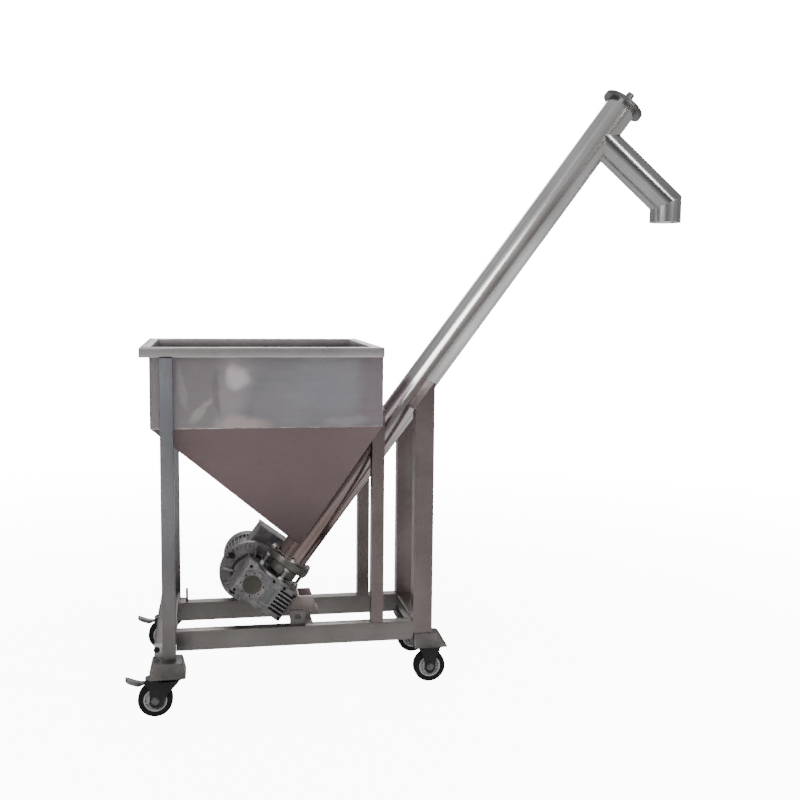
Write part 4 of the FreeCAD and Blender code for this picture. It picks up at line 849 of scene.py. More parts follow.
SLOPE_CORNER, CUT_FROM, CUT_TO = 1.5, -10.0, 700.0
FOLD_SIDES = (FOLD_LEFT, FOLD_RIGHT, -FOLD_HALF, FOLD_HALF)
THROAT_SIDES = (THROAT_LEFT, THROAT_RIGHT, -THROAT_HALF, THROAT_HALF)
slope = []
for sides, skin, level in ((THROAT_SIDES, 0.0, THROAT_UP), (FOLD_SIDES, 0.0, FOLD_UP),
                           (FOLD_SIDES, SLOPE_WALL, FOLD_UP),
                           (THROAT_SIDES, SLOPE_WALL * 1.3, THROAT_UP + 0.1)):
    slope.append(sized_outline(sides[0] + skin, sides[1] - skin, sides[2] + skin, sides[3] - skin, level,
                               SLOPE_CORNER))
tube_core = turned([(0.001, CUT_FROM), (OUTER, CUT_FROM), (OUTER, CUT_TO), (0.001, CUT_TO)], 128)
tube_core = (on_tube(tube_core[0]) / MM, tube_core[1])
finished("bin_slope", [difference(carried(np.array(slope), closed=True), tube_core)], SLOPE_STEEL_PAINTED_SHADE, "frame",
         ("hopper_cone",), sharp=15.0)
print("slope from", FOLD_UP, "down to", THROAT_UP)

# %% [markdown]
# ## Weld beads
#
# The seams are taken for tungsten arc welds, brushed bright: a low rippled bead some three
# millimetres wide. A bead is a small circle carried along the seam, a little thicker once every
# ripple. It is drawn half sunk in the steel on both sides of the seam.

# %% Weld beads
WELD = ground_steel("brushed_weld_304", "#c2bfba", "#8f8780", (400, 400, 400), 0.02, 0.30, 0.2)
BIN_LOW, BIN_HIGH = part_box("hopper_box")
BIN_LOW, BIN_HIGH = np.array(BIN_LOW) / MM, np.array(BIN_HIGH) / MM
WELD_R = 1.5


def wound(points, step=0.6):
    """A closed polygon's seam as points a step apart."""
    points = np.asarray(points, dtype=float)
    return np.concatenate([line(a, b, step)[:-1] for a, b in zip(points, np.roll(points, -1, axis=0))])


fold = wound([(BIN_LOW[0], BIN_LOW[1], BIN_LOW[2]), (BIN_HIGH[0], BIN_LOW[1], BIN_LOW[2]),
              (BIN_HIGH[0], BIN_HIGH[1], BIN_LOW[2]), (BIN_LOW[0], BIN_HIGH[1], BIN_LOW[2])], 1.0)
seams = [bead(fold, 1.0, closed=True, pitch=4.0)]
for x in (BIN_LOW[0], BIN_HIGH[0]):
    for y in (BIN_LOW[1], BIN_HIGH[1]):
        seams.append(bead(line((x, y, BIN_LOW[2]), (x, y, BIN_HIGH[2]), 1.0), 1.2, pitch=4.0))
seams.append(bead(saddle(outer_line, OUTER), WELD_R, closed=True))
seams.append(bead(ELBOW + (outer_mitre - ELBOW) * (OUTER - 0.9) / OUTER, 1.1, closed=True))
finished("bin_and_chute_welds", seams, WELD, "frame")

ring_turn = np.arange(520) * 2 * math.pi / 520
ring = np.stack([np.cos(ring_turn) * OUTER, np.sin(ring_turn) * OUTER, np.zeros(520)], -1)
finished("foot_flange_weld", [bead(ring + [0, 0, 1.0], 1.6, closed=True)], WELD, "frame",
         world=on_tube)
print("weld seams", len(seams) + 1)

# %% [markdown]
# ## Flanges, lantern and their bolts
#
# The tube's foot flange, the gear unit's output flange and the head flange are turned from plate,
# so each has a small chamfer on its edges. The head flange and its cover are drawn up tight and
# ground over, so they show one smooth rim. Four studs hold the two lower flanges apart, threaded
# over their whole length. The thread is not a turned outline: its radius follows a triangle wave
# of the height and the angle, which is a real thread's shape.

# %% Flanges and lantern
GEAR_UP, BOX_HALF = -128.0, 52.0
BOX_TOP = GEAR_UP + BOX_HALF
LOW_FLANGE_R, LOW_FLANGE_THICK, STUD_CIRCLE = 74.0, 10.0, 63.0
FOOT_LOW, FOOT_BORE_R, PACKING_R, PACKING_LOW = -26.0, 15.05, 48.0, -60.0
HEAD_BORE_R, HEAD_PLUG_R, HEAD_PLUG_LONG = 12.55, 32.0, 20.0
STUD_SIZE, STUD_PITCH, NUT_ACROSS, NUT_HIGH = 12.0, 1.75, 18.0, 8.0
TOP_FLANGE_R, TOP_FLANGE_THICK, COVER_THICK = 70.0, 8.0, 8.0


def disc(inner, outer, low, high, edge=0.8, steps=128):
    """A turned ring with small chamfers on its outer edges."""
    return turned([(inner, low), (outer - edge, low), (outer, low + edge), (outer, high - edge),
                   (outer - edge, high), (inner, high)], steps)


def threaded_rod(radius, pitch, low, high, steps=20):
    """The radius falls by 0.6 of the pitch and rises again once every pitch, later by the angle."""
    levels = np.arange(low, high, pitch / 4)
    turn = np.arange(steps) * 2 * math.pi / steps
    phase = (levels[:, None] / pitch - turn[None, :] / (2 * math.pi)) % 1.0
    r = radius - 0.6 * pitch * (1 - np.abs(2 * phase - 1))
    return carried(np.stack([np.cos(turn) * r, np.sin(turn) * r,
                             np.broadcast_to(levels[:, None], r.shape)], axis=-1))


foot_outline = [(FOOT_BORE_R, PACKING_LOW), (PACKING_R - 3, PACKING_LOW), (PACKING_R, PACKING_LOW + 3),
                (PACKING_R, FOOT_LOW - 2), (PACKING_R + 2, FOOT_LOW), (LOW_FLANGE_R - 3, FOOT_LOW),
                (LOW_FLANGE_R, FOOT_LOW + 3), (LOW_FLANGE_R, -3), (LOW_FLANGE_R - 3, 0),
                (FOOT_BORE_R, 0)]
finished("foot_flange", [turned(soften(foot_outline, 1.6), 128)], FOOT_FLANGE_PAINTED_SHADE_STEEL, "frame",
         ("tube_flange_bottom",), sharp=40.0, world=on_tube)
finished("output_flange", [disc(30, LOW_FLANGE_R, BOX_TOP, BOX_TOP + LOW_FLANGE_THICK)],
         FLANGE_STEEL, "frame", ("drive_flange",), world=on_tube)
finished("head_flange", [disc(OUTER, TOP_FLANGE_R, TUBE_LONG - TOP_FLANGE_THICK, TUBE_LONG, 0.2)],
         HEAD_STEEL, "frame", ("tube_flange_top",), world=on_tube)
cover_top, plug_low = TUBE_LONG + COVER_THICK, TUBE_LONG - HEAD_PLUG_LONG
head_cover = [(HEAD_BORE_R, plug_low), (HEAD_PLUG_R, plug_low), (HEAD_PLUG_R, TUBE_LONG + 0.02),
              (TOP_FLANGE_R - 0.2, TUBE_LONG + 0.02), (TOP_FLANGE_R, TUBE_LONG + 0.2),
              (TOP_FLANGE_R, cover_top - 2.5), (TOP_FLANGE_R - 2.5, cover_top), (HEAD_BORE_R, cover_top)]
finished("head_cover", [turned(soften(head_cover, 0.9), 128)], HEAD_STEEL, "frame",
         ("end_cover",), world=on_tube)

stud_spots = circle_spots(4, STUD_CIRCLE, 0.0)
rods, nuts = [], []
for spot in stud_spots:
    rods.append(moved(threaded_rod(STUD_SIZE / 2, STUD_PITCH, BOX_TOP + 2, NUT_HIGH + 3), spot))
for level, flip in ((BOX_TOP + LOW_FLANGE_THICK, 0.0), (FOOT_LOW, math.pi), (0.0, 0.0)):
    nuts += headed(stud_spots + [0, 0, level], NUT_ACROSS, NUT_HIGH, about("X", flip))
finished("lantern_rods", rods + nuts, ZINC, "frame", ("lantern_studs",), world=on_tube)
print("studs", len(rods), "nuts", len(nuts) // 2)

# %% [markdown]
# ## Motor
#
# The motor is a finned aluminium barrel between two turned shields, with a pressed cup over the
# cooling fan. The barrel's section is one outline whose radius steps out at every fin, with
# round fin tips, carried along the motor. The cup's end is a ring of spokes: a sheet ring
# outside, a plain disc inside and bars between them, so that the slots are really open.

# %% Motor
MOTOR_FACE, FLANGE_THICK, FLANGE_R = 95.0, 12.0, 100.0
FRAME_R, FRAME_LONG, FIN_HIGH, FINS = 75.0, 170.0, 8.0, 36
STATOR_R, SHIELD_THICK, FAN_CUP_R, FAN_CUP_LONG, CUP_SHEET = 43.0, 10.0, 82.0, 56.0, 2.0
SHAFT_BORE_R, FIN_THICK, FIN_SHORT = 12.05, 3.0, 6.0
FRAME_LOW = MOTOR_FACE + FLANGE_THICK
FRAME_HIGH = FRAME_LOW + FRAME_LONG
CUP_END = FRAME_HIGH + SHIELD_THICK + FAN_CUP_LONG


def finned_section(radius, high, count, thick):
    """Points round the barrel: a root arc, then a fin with a rounded tip, as often as fins go."""
    share = np.array([0.0, 0.16, 0.34, 0.5, 0.66, 0.84, 1.0])
    tip = np.array([0.0, 0.62, 0.93, 1.0, 0.93, 0.62, 0.0])
    points = []
    for k in range(count):
        middle = 2 * math.pi * k / count
        reach = np.concatenate([[radius], radius + high * (0.88 + 0.12 * tip), [radius]])
        across = np.concatenate([[-0.75], (share - 0.5), [0.75]]) * thick
        along = np.sqrt(reach ** 2 - across ** 2)
        points.append(np.stack([along * math.cos(middle) - across * math.sin(middle),
                                along * math.sin(middle) + across * math.cos(middle)], -1))
    return np.concatenate(points)


fins = finned_section(FRAME_R, FIN_HIGH, FINS, FIN_THICK)
finished("motor_barrel", [raised(fins, FRAME_LOW + FIN_SHORT, FRAME_HIGH - FIN_SHORT),
                          turned([(STATOR_R, FRAME_LOW), (FRAME_R, FRAME_LOW), (FRAME_R, FRAME_HIGH),
                                  (STATOR_R, FRAME_HIGH)], 128)],
         CAST_ALUMINIUM, "frame", ("motor_frame",),
         world=along_motor)
finished("motor_mounting_flange", [disc(SHAFT_BORE_R, FLANGE_R, MOTOR_FACE, FRAME_LOW, 1.2)],
         CAST_ALUMINIUM, "frame", ("motor_flange",),
         world=along_motor)
finished("motor_rear_shield",
         [disc(SHAFT_BORE_R, FAN_CUP_R - CUP_SHEET, FRAME_HIGH, FRAME_HIGH + SHIELD_THICK)],
         CAST_ALUMINIUM, "frame", ("motor_end_shield",),
         world=along_motor)


def grille_bar(count, inner, outer, slot, low, high, steps=6):
    """The sheet between two neighbouring slots, from the inner ring to the outer one."""
    bars = []
    for k in range(count):
        middle = 2 * math.pi * (k + 0.5) / count
        edge = [math.pi / count - slot / 2 / r for r in (inner, outer)]
        a = np.linspace(-1, 1, steps)
        near = np.stack([np.cos(middle + a * edge[0]), np.sin(middle + a * edge[0])], -1) * inner
        far = np.stack([np.cos(middle + a * edge[1]), np.sin(middle + a * edge[1])], -1) * outer
        bars.append(raised(np.concatenate([near, far[::-1]]), low, high))
    return bars


SLOT_IN, SLOT_OUT, CUP_EDGE, GRILLE_SLOTS, GRILLE_SLOT = 20.0, 66.0, 10.0, 20, 5.0
bend = np.linspace(0, math.pi / 2, 8)
outside = [(FAN_CUP_R - CUP_EDGE + CUP_EDGE * math.cos(t), CUP_END - CUP_EDGE + CUP_EDGE * math.sin(t))
           for t in bend]
inside = [(FAN_CUP_R - CUP_EDGE + (CUP_EDGE - CUP_SHEET) * math.cos(t),
           CUP_END - CUP_EDGE + (CUP_EDGE - CUP_SHEET) * math.sin(t)) for t in bend[::-1]]
cup = [(FAN_CUP_R - CUP_SHEET, FRAME_HIGH), (FAN_CUP_R, FRAME_HIGH)] + outside + \
    [(SLOT_OUT, CUP_END), (SLOT_OUT, CUP_END - CUP_SHEET)] + inside
finished("fan_cup", [turned(cup, 128),
                     turned([(0, CUP_END - CUP_SHEET), (SLOT_IN, CUP_END - CUP_SHEET), (SLOT_IN, CUP_END),
                             (0, CUP_END)], 64)] +
         grille_bar(GRILLE_SLOTS, SLOT_IN, SLOT_OUT, GRILLE_SLOT, CUP_END - CUP_SHEET, CUP_END),
         MOTOR_PAINT, "frame", ("fan_cover",),
         world=along_motor)
print("motor from", MOTOR_FACE, "to", CUP_END, "mm behind the centre plane")

# %% [markdown]
# ## Small parts of the gear unit
#
# The worm's bore is closed by a pressed rubber cap, slightly dished, with a round lip. The
# cooling slots are deep and unlit, so each gets a thin dark lining of painted shade, which is
# simpler than a second finish inside the housing. Between the slots and the cap sits a bare plate
# on four rivets. The neck towards the motor is a sleeve that widens like a horn and is stiffened by
# nine webs; the sleeve is dark, as painted shade in the pockets between the webs. Socket screws
# hold the housing's side and four black bolts hold the motor's flange.

# %% Small parts of the gear unit
BOX_FRONT, CAP_R, BOLT_CIRCLE = -60.0, 30.0, 82.5
cap = soften([(0, 0), (CAP_R - 7, 0), (CAP_R - 4, -1.6), (CAP_R, -1.6), (CAP_R, 6), (0, 6)], 1.2)
cap[:, 0] = np.maximum(cap[:, 0], 0)
finished("worm_bore_cap", [moved(turned(cap, 96), (0, 0, BOX_FRONT - 6))],
         CAP_RUBBER, "frame", ("worm_end_cap",),
         world=along_motor)
RECESS_FLOOR, SLOT_DEEP, SLOTS, SLOT_STEP, SLOT_WIDE = -56.0, 6.0, 6, 13.0, 7.0
SLOT_FROM, SLOT_TO, SLOT_SKIN, WORM_OFFSET = 24.0, 72.0, 0.3, 63.0


def shade_lining(level):
    """A shallow open box of painted shade that lines one slot: its outline goes down outside and comes
    up inside.
    """
    middle = np.array([(SLOT_FROM + SLOT_TO) / 2 + WORM_OFFSET, level])
    rings = []
    for skin, depth in ((0.05, SLOT_DEEP), (0.05, 0.4), (SLOT_SKIN, 0.4),
                        (SLOT_SKIN, SLOT_DEEP - SLOT_SKIN)):
        flat = rounded_box(SLOT_TO - SLOT_FROM - 2 * skin, SLOT_WIDE - 2 * skin, 0.5, 3) + middle
        rings.append(np.column_stack([flat, np.full(len(flat), RECESS_FLOOR + depth)]))
    return carried(np.array(rings))


finished("painted_shade_slot_linings", [shade_lining(SLOT_STEP * (k - (SLOTS - 1) / 2)) for k in range(SLOTS)],
         SLOT_SHADE_PAINT, "frame", world=along_motor)
PLATE_WIDE, PLATE_HIGH, RIVET_INSET = 26.0, 56.0, 2.5
plate_middle = (WORM_OFFSET + 1.0, 0.0, -59.8)
plate = [moved(raised(rounded_box(PLATE_WIDE, PLATE_HIGH, 2.0), 0, 0.9, 0.2), plate_middle)]
for x in (RIVET_INSET - PLATE_WIDE / 2, PLATE_WIDE / 2 - RIVET_INSET):
    for y in (RIVET_INSET - PLATE_HIGH / 2, PLATE_HIGH / 2 - RIVET_INSET):
        plate.append(moved(turned([(0, -0.7), (0.9, -0.5), (1.3, 0), (1.3, 0.4), (0, 0.4)], 16),
                           np.array(plate_middle) + (x, y, 0)))
finished("bare_plate", plate, NAME_PLATE, "frame",
         world=along_motor)
NECK_R, NECK_START, NECK_END, WEB_HALF = 56.0, 60.0, 83.0, 3.5
WEB_ANGLES = (18, 52, 86, 112, 204, 238, 272, 306, 340)
web = np.array([(NECK_R - 4, NECK_START), (NECK_R + 8, NECK_START), (FLANGE_R - 8, 78.0),
                (FLANGE_R - 6, NECK_END), (NECK_R - 4, NECK_END)])
webs = [moved(raised(web, -WEB_HALF, WEB_HALF, 0.8), (0, 0, 0),
              about("Z", math.radians(-angle)) @ about("X", math.pi / 2)) for angle in WEB_ANGLES]
finished("gear_neck_webs", webs, CAST_ALUMINIUM, "frame",
         world=along_motor)
horn = [(NECK_R - 1, 60.2), (NECK_R + 0.6, 60.2), (NECK_R + 2.0, 70), (NECK_R + 6.0, 82),
        (NECK_R + 6.0, NECK_END), (NECK_R - 1, NECK_END)]
# The sleeve's dark tone is painted shade in the pockets between the webs.
finished("gear_neck_painted_shade_sleeve", [turned(horn, 96)],
         NECK_PAINTED_SHADE, "frame", world=along_motor)
HOUSING_SCREWS = ((-36.0, -45.0), (-36.0, 45.0), (132.0, 43.0), (132.0, -43.0), (52.0, 45.0), (92.0, 45.0))
socket = soften([(0, -2.2), (3.0, -2.2), (3.0, -5.0), (4.6, -5.0), (5.0, -4.4), (5.0, 0.5), (0, 0.5)], 0.3)
finished("housing_screws", [moved(turned(np.maximum(socket, [0, -9]), 24), (x, -z, BOX_FRONT))
                            for x, z in HOUSING_SCREWS],
         BLACK_BOLT, "frame", world=along_motor)
BOLT_ACROSS, BOLT_HIGH, BOLT_FIRST = 16.0, 9.0, 8.0
finished("motor_flange_bolts",
         headed(circle_spots(4, BOLT_CIRCLE, MOTOR_FACE - FLANGE_THICK, BOLT_FIRST), BOLT_ACROSS,
                BOLT_HIGH, about("X", math.pi)) +
         headed(circle_spots(4, BOLT_CIRCLE, FRAME_LOW, BOLT_FIRST), BOLT_ACROSS, BOLT_HIGH),
         BLACK_BOLT, "frame", world=along_motor)
print("cap radius", CAP_R)

# %% [markdown]
# ## Frame tubes
#
# The frame is welded from square tube, whose corners are always rounded. That small round is
# what catches the light as a thin bright line along each leg and rail, so six of the tubes are
# drawn again with it, in the boxes that their solids fill. The others stay as their solids.

# %% Frame tubes
CORNER = 4.0


def box_mm(node):
    """A node's lowest and highest corner in millimetres."""
    low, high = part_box(node)
    return np.array(low) / MM, np.array(high) / MM


def box_tube(node, along, wall=3.0, short=0.0):
    """A rounded square wall that fills the node's box, carried along one axis and kept short of its
    ends. Outside and inside are the two halves of one closed outline that runs out along one and
    back along the other."""
    low, high = box_mm(node)
    low[along] += short
    high[along] -= short
    across = [k for k in range(3) if k != along]
    wide, deep = (high - low)[across]
    middle = (high + low) / 2
    out = rounded_box(wide, deep, CORNER)
    inner = rounded_box(wide - 2 * wall, deep - 2 * wall, CORNER - wall + 0.2)
    rings = []
    for outline, level in ((out, low[along]), (out, high[along]), (inner, high[along]),
                           (inner, low[along])):
        ring = np.zeros((len(outline), 3))
        ring[:, across] = outline + middle[across]
        ring[:, along] = level
        rings.append(ring)
    return carried(np.array(rings), closed=True)


for node, along, material in (("base_rail_front", 0, RAIL_STEEL), ("cross_rail_mid", 1, RAIL_STEEL),
                              ("cross_rail_right", 1, RAIL_STEEL),
                              ("leg_front_left", 2, LEFT_LEG_STEEL), ("leg_rear_left", 2, LEFT_LEG_STEEL)):
    finished(node + "_tube", [box_tube(node, along)], material, "frame", (node,))
END_PLATE = 3.0
rail_low, rail_high = box_mm("cross_rail_left")
rail_middle = (rail_low + rail_high) / 2
finished("cross_rail_left_tube", [box_tube("cross_rail_left", 1, short=END_PLATE)], RAIL_STEEL, "frame",
         ("cross_rail_left",))
plate_outline = rounded_box(rail_high[0] - rail_low[0], rail_high[2] - rail_low[2], CORNER)
plates = []
for level in (rail_low[1], rail_high[1] - END_PLATE):
    plates.append(moved(raised(plate_outline, 0, END_PLATE, 0.6), (rail_middle[0], level, rail_middle[2]),
                        ALONG_Y))
finished("cross_rail_end_plates", plates, PLATE_STEEL, "frame", ("cross_rail_left",))
print("rounded tubes", 6, "end plates", len(plates))

# %% [markdown]
# The bin's rim is the same square tube, bent round the bin in four mitred lengths. Its outline
# is carried round the four corners, and each mitre plane is simply the diagonal, so a point that
# lies further out on the tube lies further out at the corner in both directions.

# %% Rim
RIM_LOW, RIM_HIGH = box_mm("hopper_rim")
RIM_WIDE = 31.0


def mitred_rim(low, high, wide, corner):
    """Stations at the four corners; the outline's first value is the distance in from outside."""
    tall = high[2] - low[2]
    section = rounded_box(wide, tall, corner)
    inset, level = section[:, 0] + wide / 2, section[:, 1] + (low[2] + high[2]) / 2
    rings = []
    for x, y in ((0, 0), (1, 0), (1, 1), (0, 1)):
        rings.append(np.column_stack([(low[0] + inset) if x == 0 else (high[0] - inset),
                                      (low[1] + inset) if y == 0 else (high[1] - inset), level]))
    return carried(np.array(rings), closed=True)


finished("bin_rim", [mitred_rim(RIM_LOW, RIM_HIGH, RIM_WIDE, 3.5)], RIM_STEEL, "frame",
         ("hopper_rim",))
mitres = []
for x0, x1 in ((RIM_LOW[0], RIM_LOW[0] + RIM_WIDE), (RIM_HIGH[0], RIM_HIGH[0] - RIM_WIDE)):
    for y0, y1 in ((RIM_LOW[1], RIM_LOW[1] + RIM_WIDE), (RIM_HIGH[1], RIM_HIGH[1] - RIM_WIDE)):
        way = np.array([(x1 - x0), (y1 - y0), 0]) * 0.1
        mitres.append(bead(line(np.array([x0, y0, RIM_HIGH[2] - 0.4]) + way,
                                np.array([x1, y1, RIM_HIGH[2] - 0.4]) - way), 1.0))
finished("rim_mitre_welds", mitres, WELD, "frame")
print("rim", [round(v) for v in RIM_HIGH - RIM_LOW])

# %% [markdown]
# ## Castors
#
# Each castor is a black pressed fork with a grey nylon wheel centre and a rubber tread. The tread
# has round shoulders, a flat crown and a thin groove on each side of its middle. The nylon centre
# has a rim, a long boss and five ribs on each side of its web, which is what the eye sees as
# light and dark crescents beside the fork.

# %% Castor wheels
WHEEL_R, WHEEL_HALF, HUB_R, AXLE_R = 50.0, 15.0, 34.0, 6.05


def tread():
    """The tread's outline: two quarter rounds at the shoulders, a crown and two grooves."""
    shoulder = [(WHEEL_R - 5 + 5 * math.sin(t), WHEEL_HALF - 5 + 5 * math.cos(t))
                for t in np.linspace(0, math.pi / 2, 7)]
    grooves = [(WHEEL_R, 5.5), (WHEEL_R - 0.8, 5.0), (WHEEL_R, 4.5)]
    side = [(HUB_R, WHEEL_HALF)] + shoulder + grooves
    return np.array(side + [(r, -h) for r, h in side[::-1]])


def nylon_centre():
    """Rim, web and boss as one turned outline, and five ribs on each side."""
    half = [(AXLE_R, 17), (11, 17), (12, 16), (13, 6), (28, 5), (30, 13.5), (33, 14), (HUB_R, 13.4)]
    centre = [turned(np.array(half + [(r, -h) for r, h in half[::-1]]), 64)]
    for k in range(5):
        rib = raised(np.array([(11, -1.6), (30.5, -1.2), (30.5, 1.2), (11, 1.6)]), -12.5, 12.5)
        centre.append(moved(rib, (0, 0, 0), about("Z", 2 * math.pi * k / 5 + 0.3)))
    return centre


WHEELS = (("front_left", "wheel_front_left", "front_left_wheel_roll"),
          ("rear_left", "wheel_rear_left", "rear_left_wheel_roll"),
          ("front_right", "wheel_front_right", "front_right_wheel_roll"),
          ("rear_right", "wheel_rear_right", "rear_right_wheel_roll"))
for place, body, joint in WHEELS:
    centre = np.array(JOINTS[joint]["pos_m"]) / MM
    finished("tread_" + place, [moved(turned(tread(), 96), centre, ALONG_Y)], TYRE_RUBBER, body,
             ("tyre_" + place,))
    finished("centre_" + place, [moved(part, centre, ALONG_Y) for part in nylon_centre()], HUB_NYLON,
             body, ("hub_" + place,))
print("wheels", len(WHEELS))

# %% [markdown]
# ## Pressed feet and lifting lugs
#
# Each foot is a tray pressed from four millimetre sheet, so its corners and its top edge are
# round. It is one outline carried through five stations: down the inside from ceiling to lip, out
# round the lip, and up the outside to the softened top. A lug is a small square plate whose
# outline and round hole are joined point by point, by the same angle from the hole's middle.

# %% Feet and lugs
FOOT_TOP, FOOT_SKIRT, LIP_UP, SHEET, PLATE_UP = 164.0, 116.0, 122.0, 4.0, 11.0
FOOT_HALF, FOOT_TOP_HALF = 54, 43
LEFT_X, LEFT_Y, RIGHT_X, RIGHT_Y, RAIL_Y = -402.5, 292.0, 402.5, 141.0, 149.0
RIGHT_FOOT_FROM, RIGHT_FOOT_TO, RIGHT_FOOT_TOP_TO, RIGHT_TOP_HALF = 345.0, 456.5, 429.0, 24
LUG_HALF, LUG_OVER, LUG_HOLE_R, LUG_THICK_HALF, LUG_X, LUG_UP = 24.0, 22.0, 9.0, 4, -14.0, 228.0
RAIL_BOLT_X, RAIL_BOLT_UP = -434.0, 186.0


def foot_at(low, high, level, skin):
    """The tray's outline at a height: the wall leans straight from its foot's size to its top's."""
    share = (level - FOOT_SKIRT) / (FOOT_TOP - FOOT_SKIRT)
    sides = [a + (b - a) * share for a, b in zip(low, high)]
    return sized_outline(sides[0] + skin, sides[1] - skin, sides[2] + skin, sides[3] - skin, level,
                         max(7.0 - skin, 2.0))


def pressed_foot(low, high):
    """The tray itself, and the thick plate inside it that carries the castor."""
    rings = [foot_at(low, high, FOOT_TOP - SHEET, SHEET), foot_at(low, high, LIP_UP, SHEET),
             foot_at(low, high, LIP_UP, 0.0), foot_at(low, high, FOOT_TOP - 2.5, 0.0),
             foot_at(low, high, FOOT_TOP, 2.5)]
    plate = [foot_at(low, high, LIP_UP, SHEET - 0.3), foot_at(low, high, LIP_UP + PLATE_UP, SHEET - 0.3)]
    return [carried(np.array(rings)), carried(np.array(plate))]


def lug(side):
    """A plate 48 by 46 mm with a hole of 18 mm; at each angle the plate's edge is where the ray from
    the hole's middle leaves the square."""
    steps = 96
    angle = np.arange(steps) * 2 * math.pi / steps
    ray = np.stack([np.cos(angle), np.sin(angle)], -1)
    sideways, upwards = np.maximum(np.abs(ray), 1e-6).T
    reach = np.minimum(LUG_HALF / sideways, np.where(ray[:, 1] > 0, LUG_OVER, LUG_HALF) / upwards)
    outline, hole = ray * reach[:, None], ray * LUG_HOLE_R
    face, rim = LUG_THICK_HALF, LUG_THICK_HALF - 0.6
    rings = []
    for edge, level in ((outline, -rim), (outline, rim), (outline * 0.985, face), (hole * 1.06, face),
                        (hole, rim), (hole, -rim), (hole * 1.06, -face), (outline * 0.985, -face)):
        rings.append(np.column_stack([edge[:, 0] + LUG_X, np.full(steps, side * RAIL_Y + level),
                                      edge[:, 1] + LUG_UP]))
    return carried(np.array(rings), closed=True)


for side, end in ((-1, "front"), (1, "rear")):
    y = side * LEFT_Y
    finished("pressed_foot_%s_left" % end,
             pressed_foot(
                 (LEFT_X - FOOT_HALF, LEFT_X + FOOT_HALF, y - FOOT_HALF, y + FOOT_HALF),
                 (LEFT_X - FOOT_TOP_HALF, LEFT_X + FOOT_TOP_HALF, y - FOOT_TOP_HALF, y + FOOT_TOP_HALF)),
             FEET_STEEL, "frame", ("foot_%s_left" % end,))
    y, rail = side * RIGHT_Y, side * RAIL_Y
    finished("pressed_foot_%s_right" % end,
             pressed_foot(
                 (RIGHT_FOOT_FROM, RIGHT_FOOT_TO, y - FOOT_HALF, y + FOOT_HALF),
                 (RIGHT_FOOT_FROM, RIGHT_FOOT_TOP_TO, rail - RIGHT_TOP_HALF, rail + RIGHT_TOP_HALF)),
             RIGHT_FEET_PAINTED_SHADE_STEEL, "frame", ("foot_%s_right" % end,))
    finished("lug_plate_" + end, [lug(side)], FEET_STEEL, "frame", ("lug_" + end,))
bolt_spot = (RAIL_BOLT_X, rail_low[1] - 0.2, RAIL_BOLT_UP)
finished("cross_rail_bolt", headed([bolt_spot], 13.0, 5.0, about("X", math.pi / 2)),
         BLACK_BOLT, "frame")
print("feet", 4, "lugs", 2)

# %% [markdown]
# ## Castor forks and brake pedals
#
# The fork is pressed from three millimetre sheet: two cheeks that hang from a round or square
# crown and narrow towards the axle. The swivelling ones trail behind their pivot and carry the brake
# pedal on a pin at their back. A pedal is a strip that bends upwards and ends in a half round,
# with its edges bent down for stiffness, so its width at each station follows a formula.

# %% Castor forks and pedals
CHEEK_IN, CHEEK_OUT, CROWN_LOW, CROWN_TOP, TRAIL = 18.0, 21.0, 112.7, 121.7, 35.0
SWIVEL_CHEEK = ((36, 114), (-52, 114), (-64, 111), (-66, 101), (-60, 94), (-51, 82), (-51, 38), (-42, 29),
                (-25, 28), (-12, 38), (-9, 56), (14, 84), (31, 101))
FIXED_CHEEK = ((34, 114), (-34, 114), (-30, 100), (-21, 80), (-17, 60), (-17, 40), (-8, 29), (8, 29),
               (17, 40), (17, 60), (21, 80), (30, 100))
PIN_X, PIN_UP, PEDAL_REACH, PEDAL_SHEET = -56.0, 106.0, 63.5, 3.0
ROOT_HALF, TIP_MORE, ROUND_FROM, TIP_CLIMB, EDGE_DROP = 10, 7, 0.8, 19.0, 8.0
CROWN_R, STEM_R, STEM_TOP, CROWN_WIDE, CROWN_DEEP, CROWN_PLATE_TOP = 29, 10, 135, 76, 60, 122.0
FORK_AXLE_R, AXLE_UP, HUB_HALF, PIN_R, PIN_HALF = 6, 50.0, 17, 2.9, 20.9


def fork(cheek, axle_x, swivel):
    """Two softened cheeks, the crown between them, and the axle."""
    outline = soften(cheek, 7.0)
    parts = [moved(raised(outline, level, level + CHEEK_OUT - CHEEK_IN, 0.5), (0, 0, 0),
                   about("X", math.pi / 2)) for level in (-CHEEK_OUT, CHEEK_IN)]
    if swivel:
        parts.append(turned([(0, CROWN_LOW), (CROWN_R - 2, CROWN_LOW), (CROWN_R, CROWN_LOW + 2),
                             (CROWN_R, CROWN_TOP - 1), (CROWN_R - 1, CROWN_TOP), (0, CROWN_TOP)], 64))
        parts.append(turned([(0, CROWN_TOP - 1), (STEM_R, CROWN_TOP - 1), (STEM_R, STEM_TOP - 1),
                             (STEM_R - 1, STEM_TOP), (0, STEM_TOP)], 32))
    else:
        parts.append(raised(rounded_box(CROWN_WIDE, CROWN_DEEP, 6.0), CROWN_LOW, CROWN_PLATE_TOP, 0.8))
    axle = turned([(0, -CHEEK_OUT), (FORK_AXLE_R, -CHEEK_OUT), (FORK_AXLE_R, CHEEK_OUT),
                   (0, CHEEK_OUT)], 32)
    return parts + [moved(axle, (axle_x, 0, AXLE_UP), ALONG_Y)]


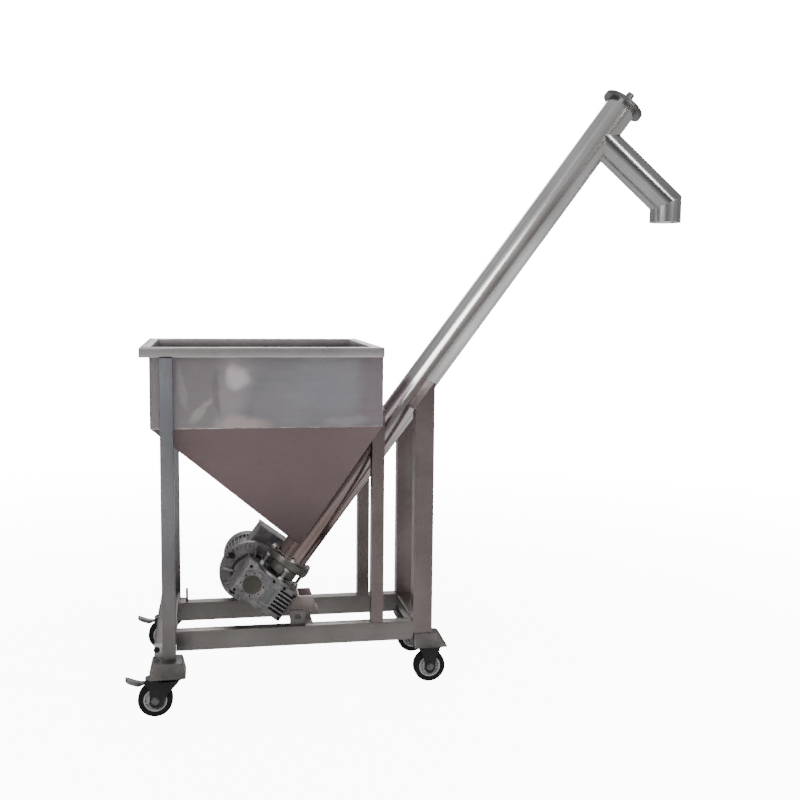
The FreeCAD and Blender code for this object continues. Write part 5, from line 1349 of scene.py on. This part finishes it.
def pedal():
    """Stations along the strip: half its width is 10 at the pin and 17 near its end, where it follows
    a half circle; its middle line sinks a little for a quarter and then climbs, its edges are bent down
    by the sixth power of the way out from the middle."""
    round_share = np.sin(np.linspace(0.1, 1, 9) * math.pi / 2)
    t = np.concatenate([np.linspace(0, ROUND_FROM, 14), 1 - 0.2 * (1 - round_share)])
    round_end = np.sqrt(np.clip(1 - (np.clip(t - ROUND_FROM, 0, 1) / 0.2) ** 2, 0.02, 1))
    half = (ROOT_HALF + TIP_MORE * np.clip(t / 0.45, 0, 1) ** 2) * round_end
    climb = TIP_CLIMB * np.clip((t - 0.25) / 0.75, 0, 1) ** 1.4
    across = np.linspace(-1, 1, 9)
    hollow = -EDGE_DROP * across ** 6 * np.clip(t / 0.4, 0, 1)[:, None]
    x = np.broadcast_to((PIN_X - PEDAL_REACH * t)[:, None], (len(t), 9))
    y = half[:, None] * across
    low = PIN_UP - 5.5 + climb[:, None] + hollow - 4.3 * np.clip(t, 0, 1)[:, None]
    under, over = np.stack([x, y, low], -1), np.stack([x, y, low + PEDAL_SHEET], -1)
    strip = carried(np.concatenate([under, over[:, ::-1]], axis=1))
    hub = turned([(3.2, -HUB_HALF), (6, -HUB_HALF), (6.5, 1 - HUB_HALF), (6.5, HUB_HALF - 1),
                  (6, HUB_HALF), (3.2, HUB_HALF)], 32)
    pin = turned([(0, -PIN_HALF), (PIN_R, -PIN_HALF), (PIN_R, PIN_HALF), (0, PIN_HALF)], 24)
    return [strip] + [moved(part, (PIN_X, 0, PIN_UP), ALONG_Y) for part in (hub, pin)]


for side, end in ((-1, "front"), (1, "rear")):
    place = (LEFT_X, side * LEFT_Y, 0)
    finished("pressed_fork_%s_left" % end,
             [moved(part, place) for part in fork(SWIVEL_CHEEK, -TRAIL, True)],
             FORK_PAINT, "swivel_" + end, ("fork_%s_left" % end,))
    finished("pressed_fork_%s_right" % end,
             [moved(part, (RIGHT_X, side * RIGHT_Y, 0)) for part in fork(FIXED_CHEEK, 0.0, False)],
             FORK_PAINT, "frame", ("fork_%s_right" % end,))
    finished("brake_pedal_" + end, [moved(part, place) for part in pedal()], PEDAL_ZINC, "brake_" + end,
             ("pedal_%s_left" % end,))
print("forks", 4, "pedals", 2)

# %% [markdown]
# What the forks still lack is the hardware: a hexagon head and a nut on each axle, and on the
# swivelling ones the dished ring that keeps dust out of the ball race.

# %% Castor hardware
AXLE_NUT_ACROSS, AXLE_NUT_HIGH = 18.0, 7.0
race_outline = soften([(19, 103), (33, 103), (44, 109.5), (44, 112), (19, 112)], 1.5)
for place, body, joint in WHEELS:
    centre = np.array(JOINTS[joint]["pos_m"]) / MM
    fork_body = "swivel_" + place.split("_")[0] if place.endswith("left") else "frame"
    hardware = headed([centre + [0, CHEEK_OUT, 0]], AXLE_NUT_ACROSS, AXLE_NUT_HIGH,
                      about("X", -math.pi / 2))
    hardware += headed([centre - [0, CHEEK_OUT, 0]], AXLE_NUT_ACROSS, AXLE_NUT_HIGH,
                       about("X", math.pi / 2))
    if place.endswith("left"):
        pivot = np.array(JOINTS[place.split("_")[0] + "_castor_swivel"]["pos_m"]) / MM
        finished("dust_ring_" + place, [moved(turned(race_outline, 64), [pivot[0], pivot[1], 0])],
                 FORK_PAINT, fork_body)
    finished("castor_hardware_" + place, hardware, PEDAL_ZINC, fork_body)
print("pieces", len(PIECES))
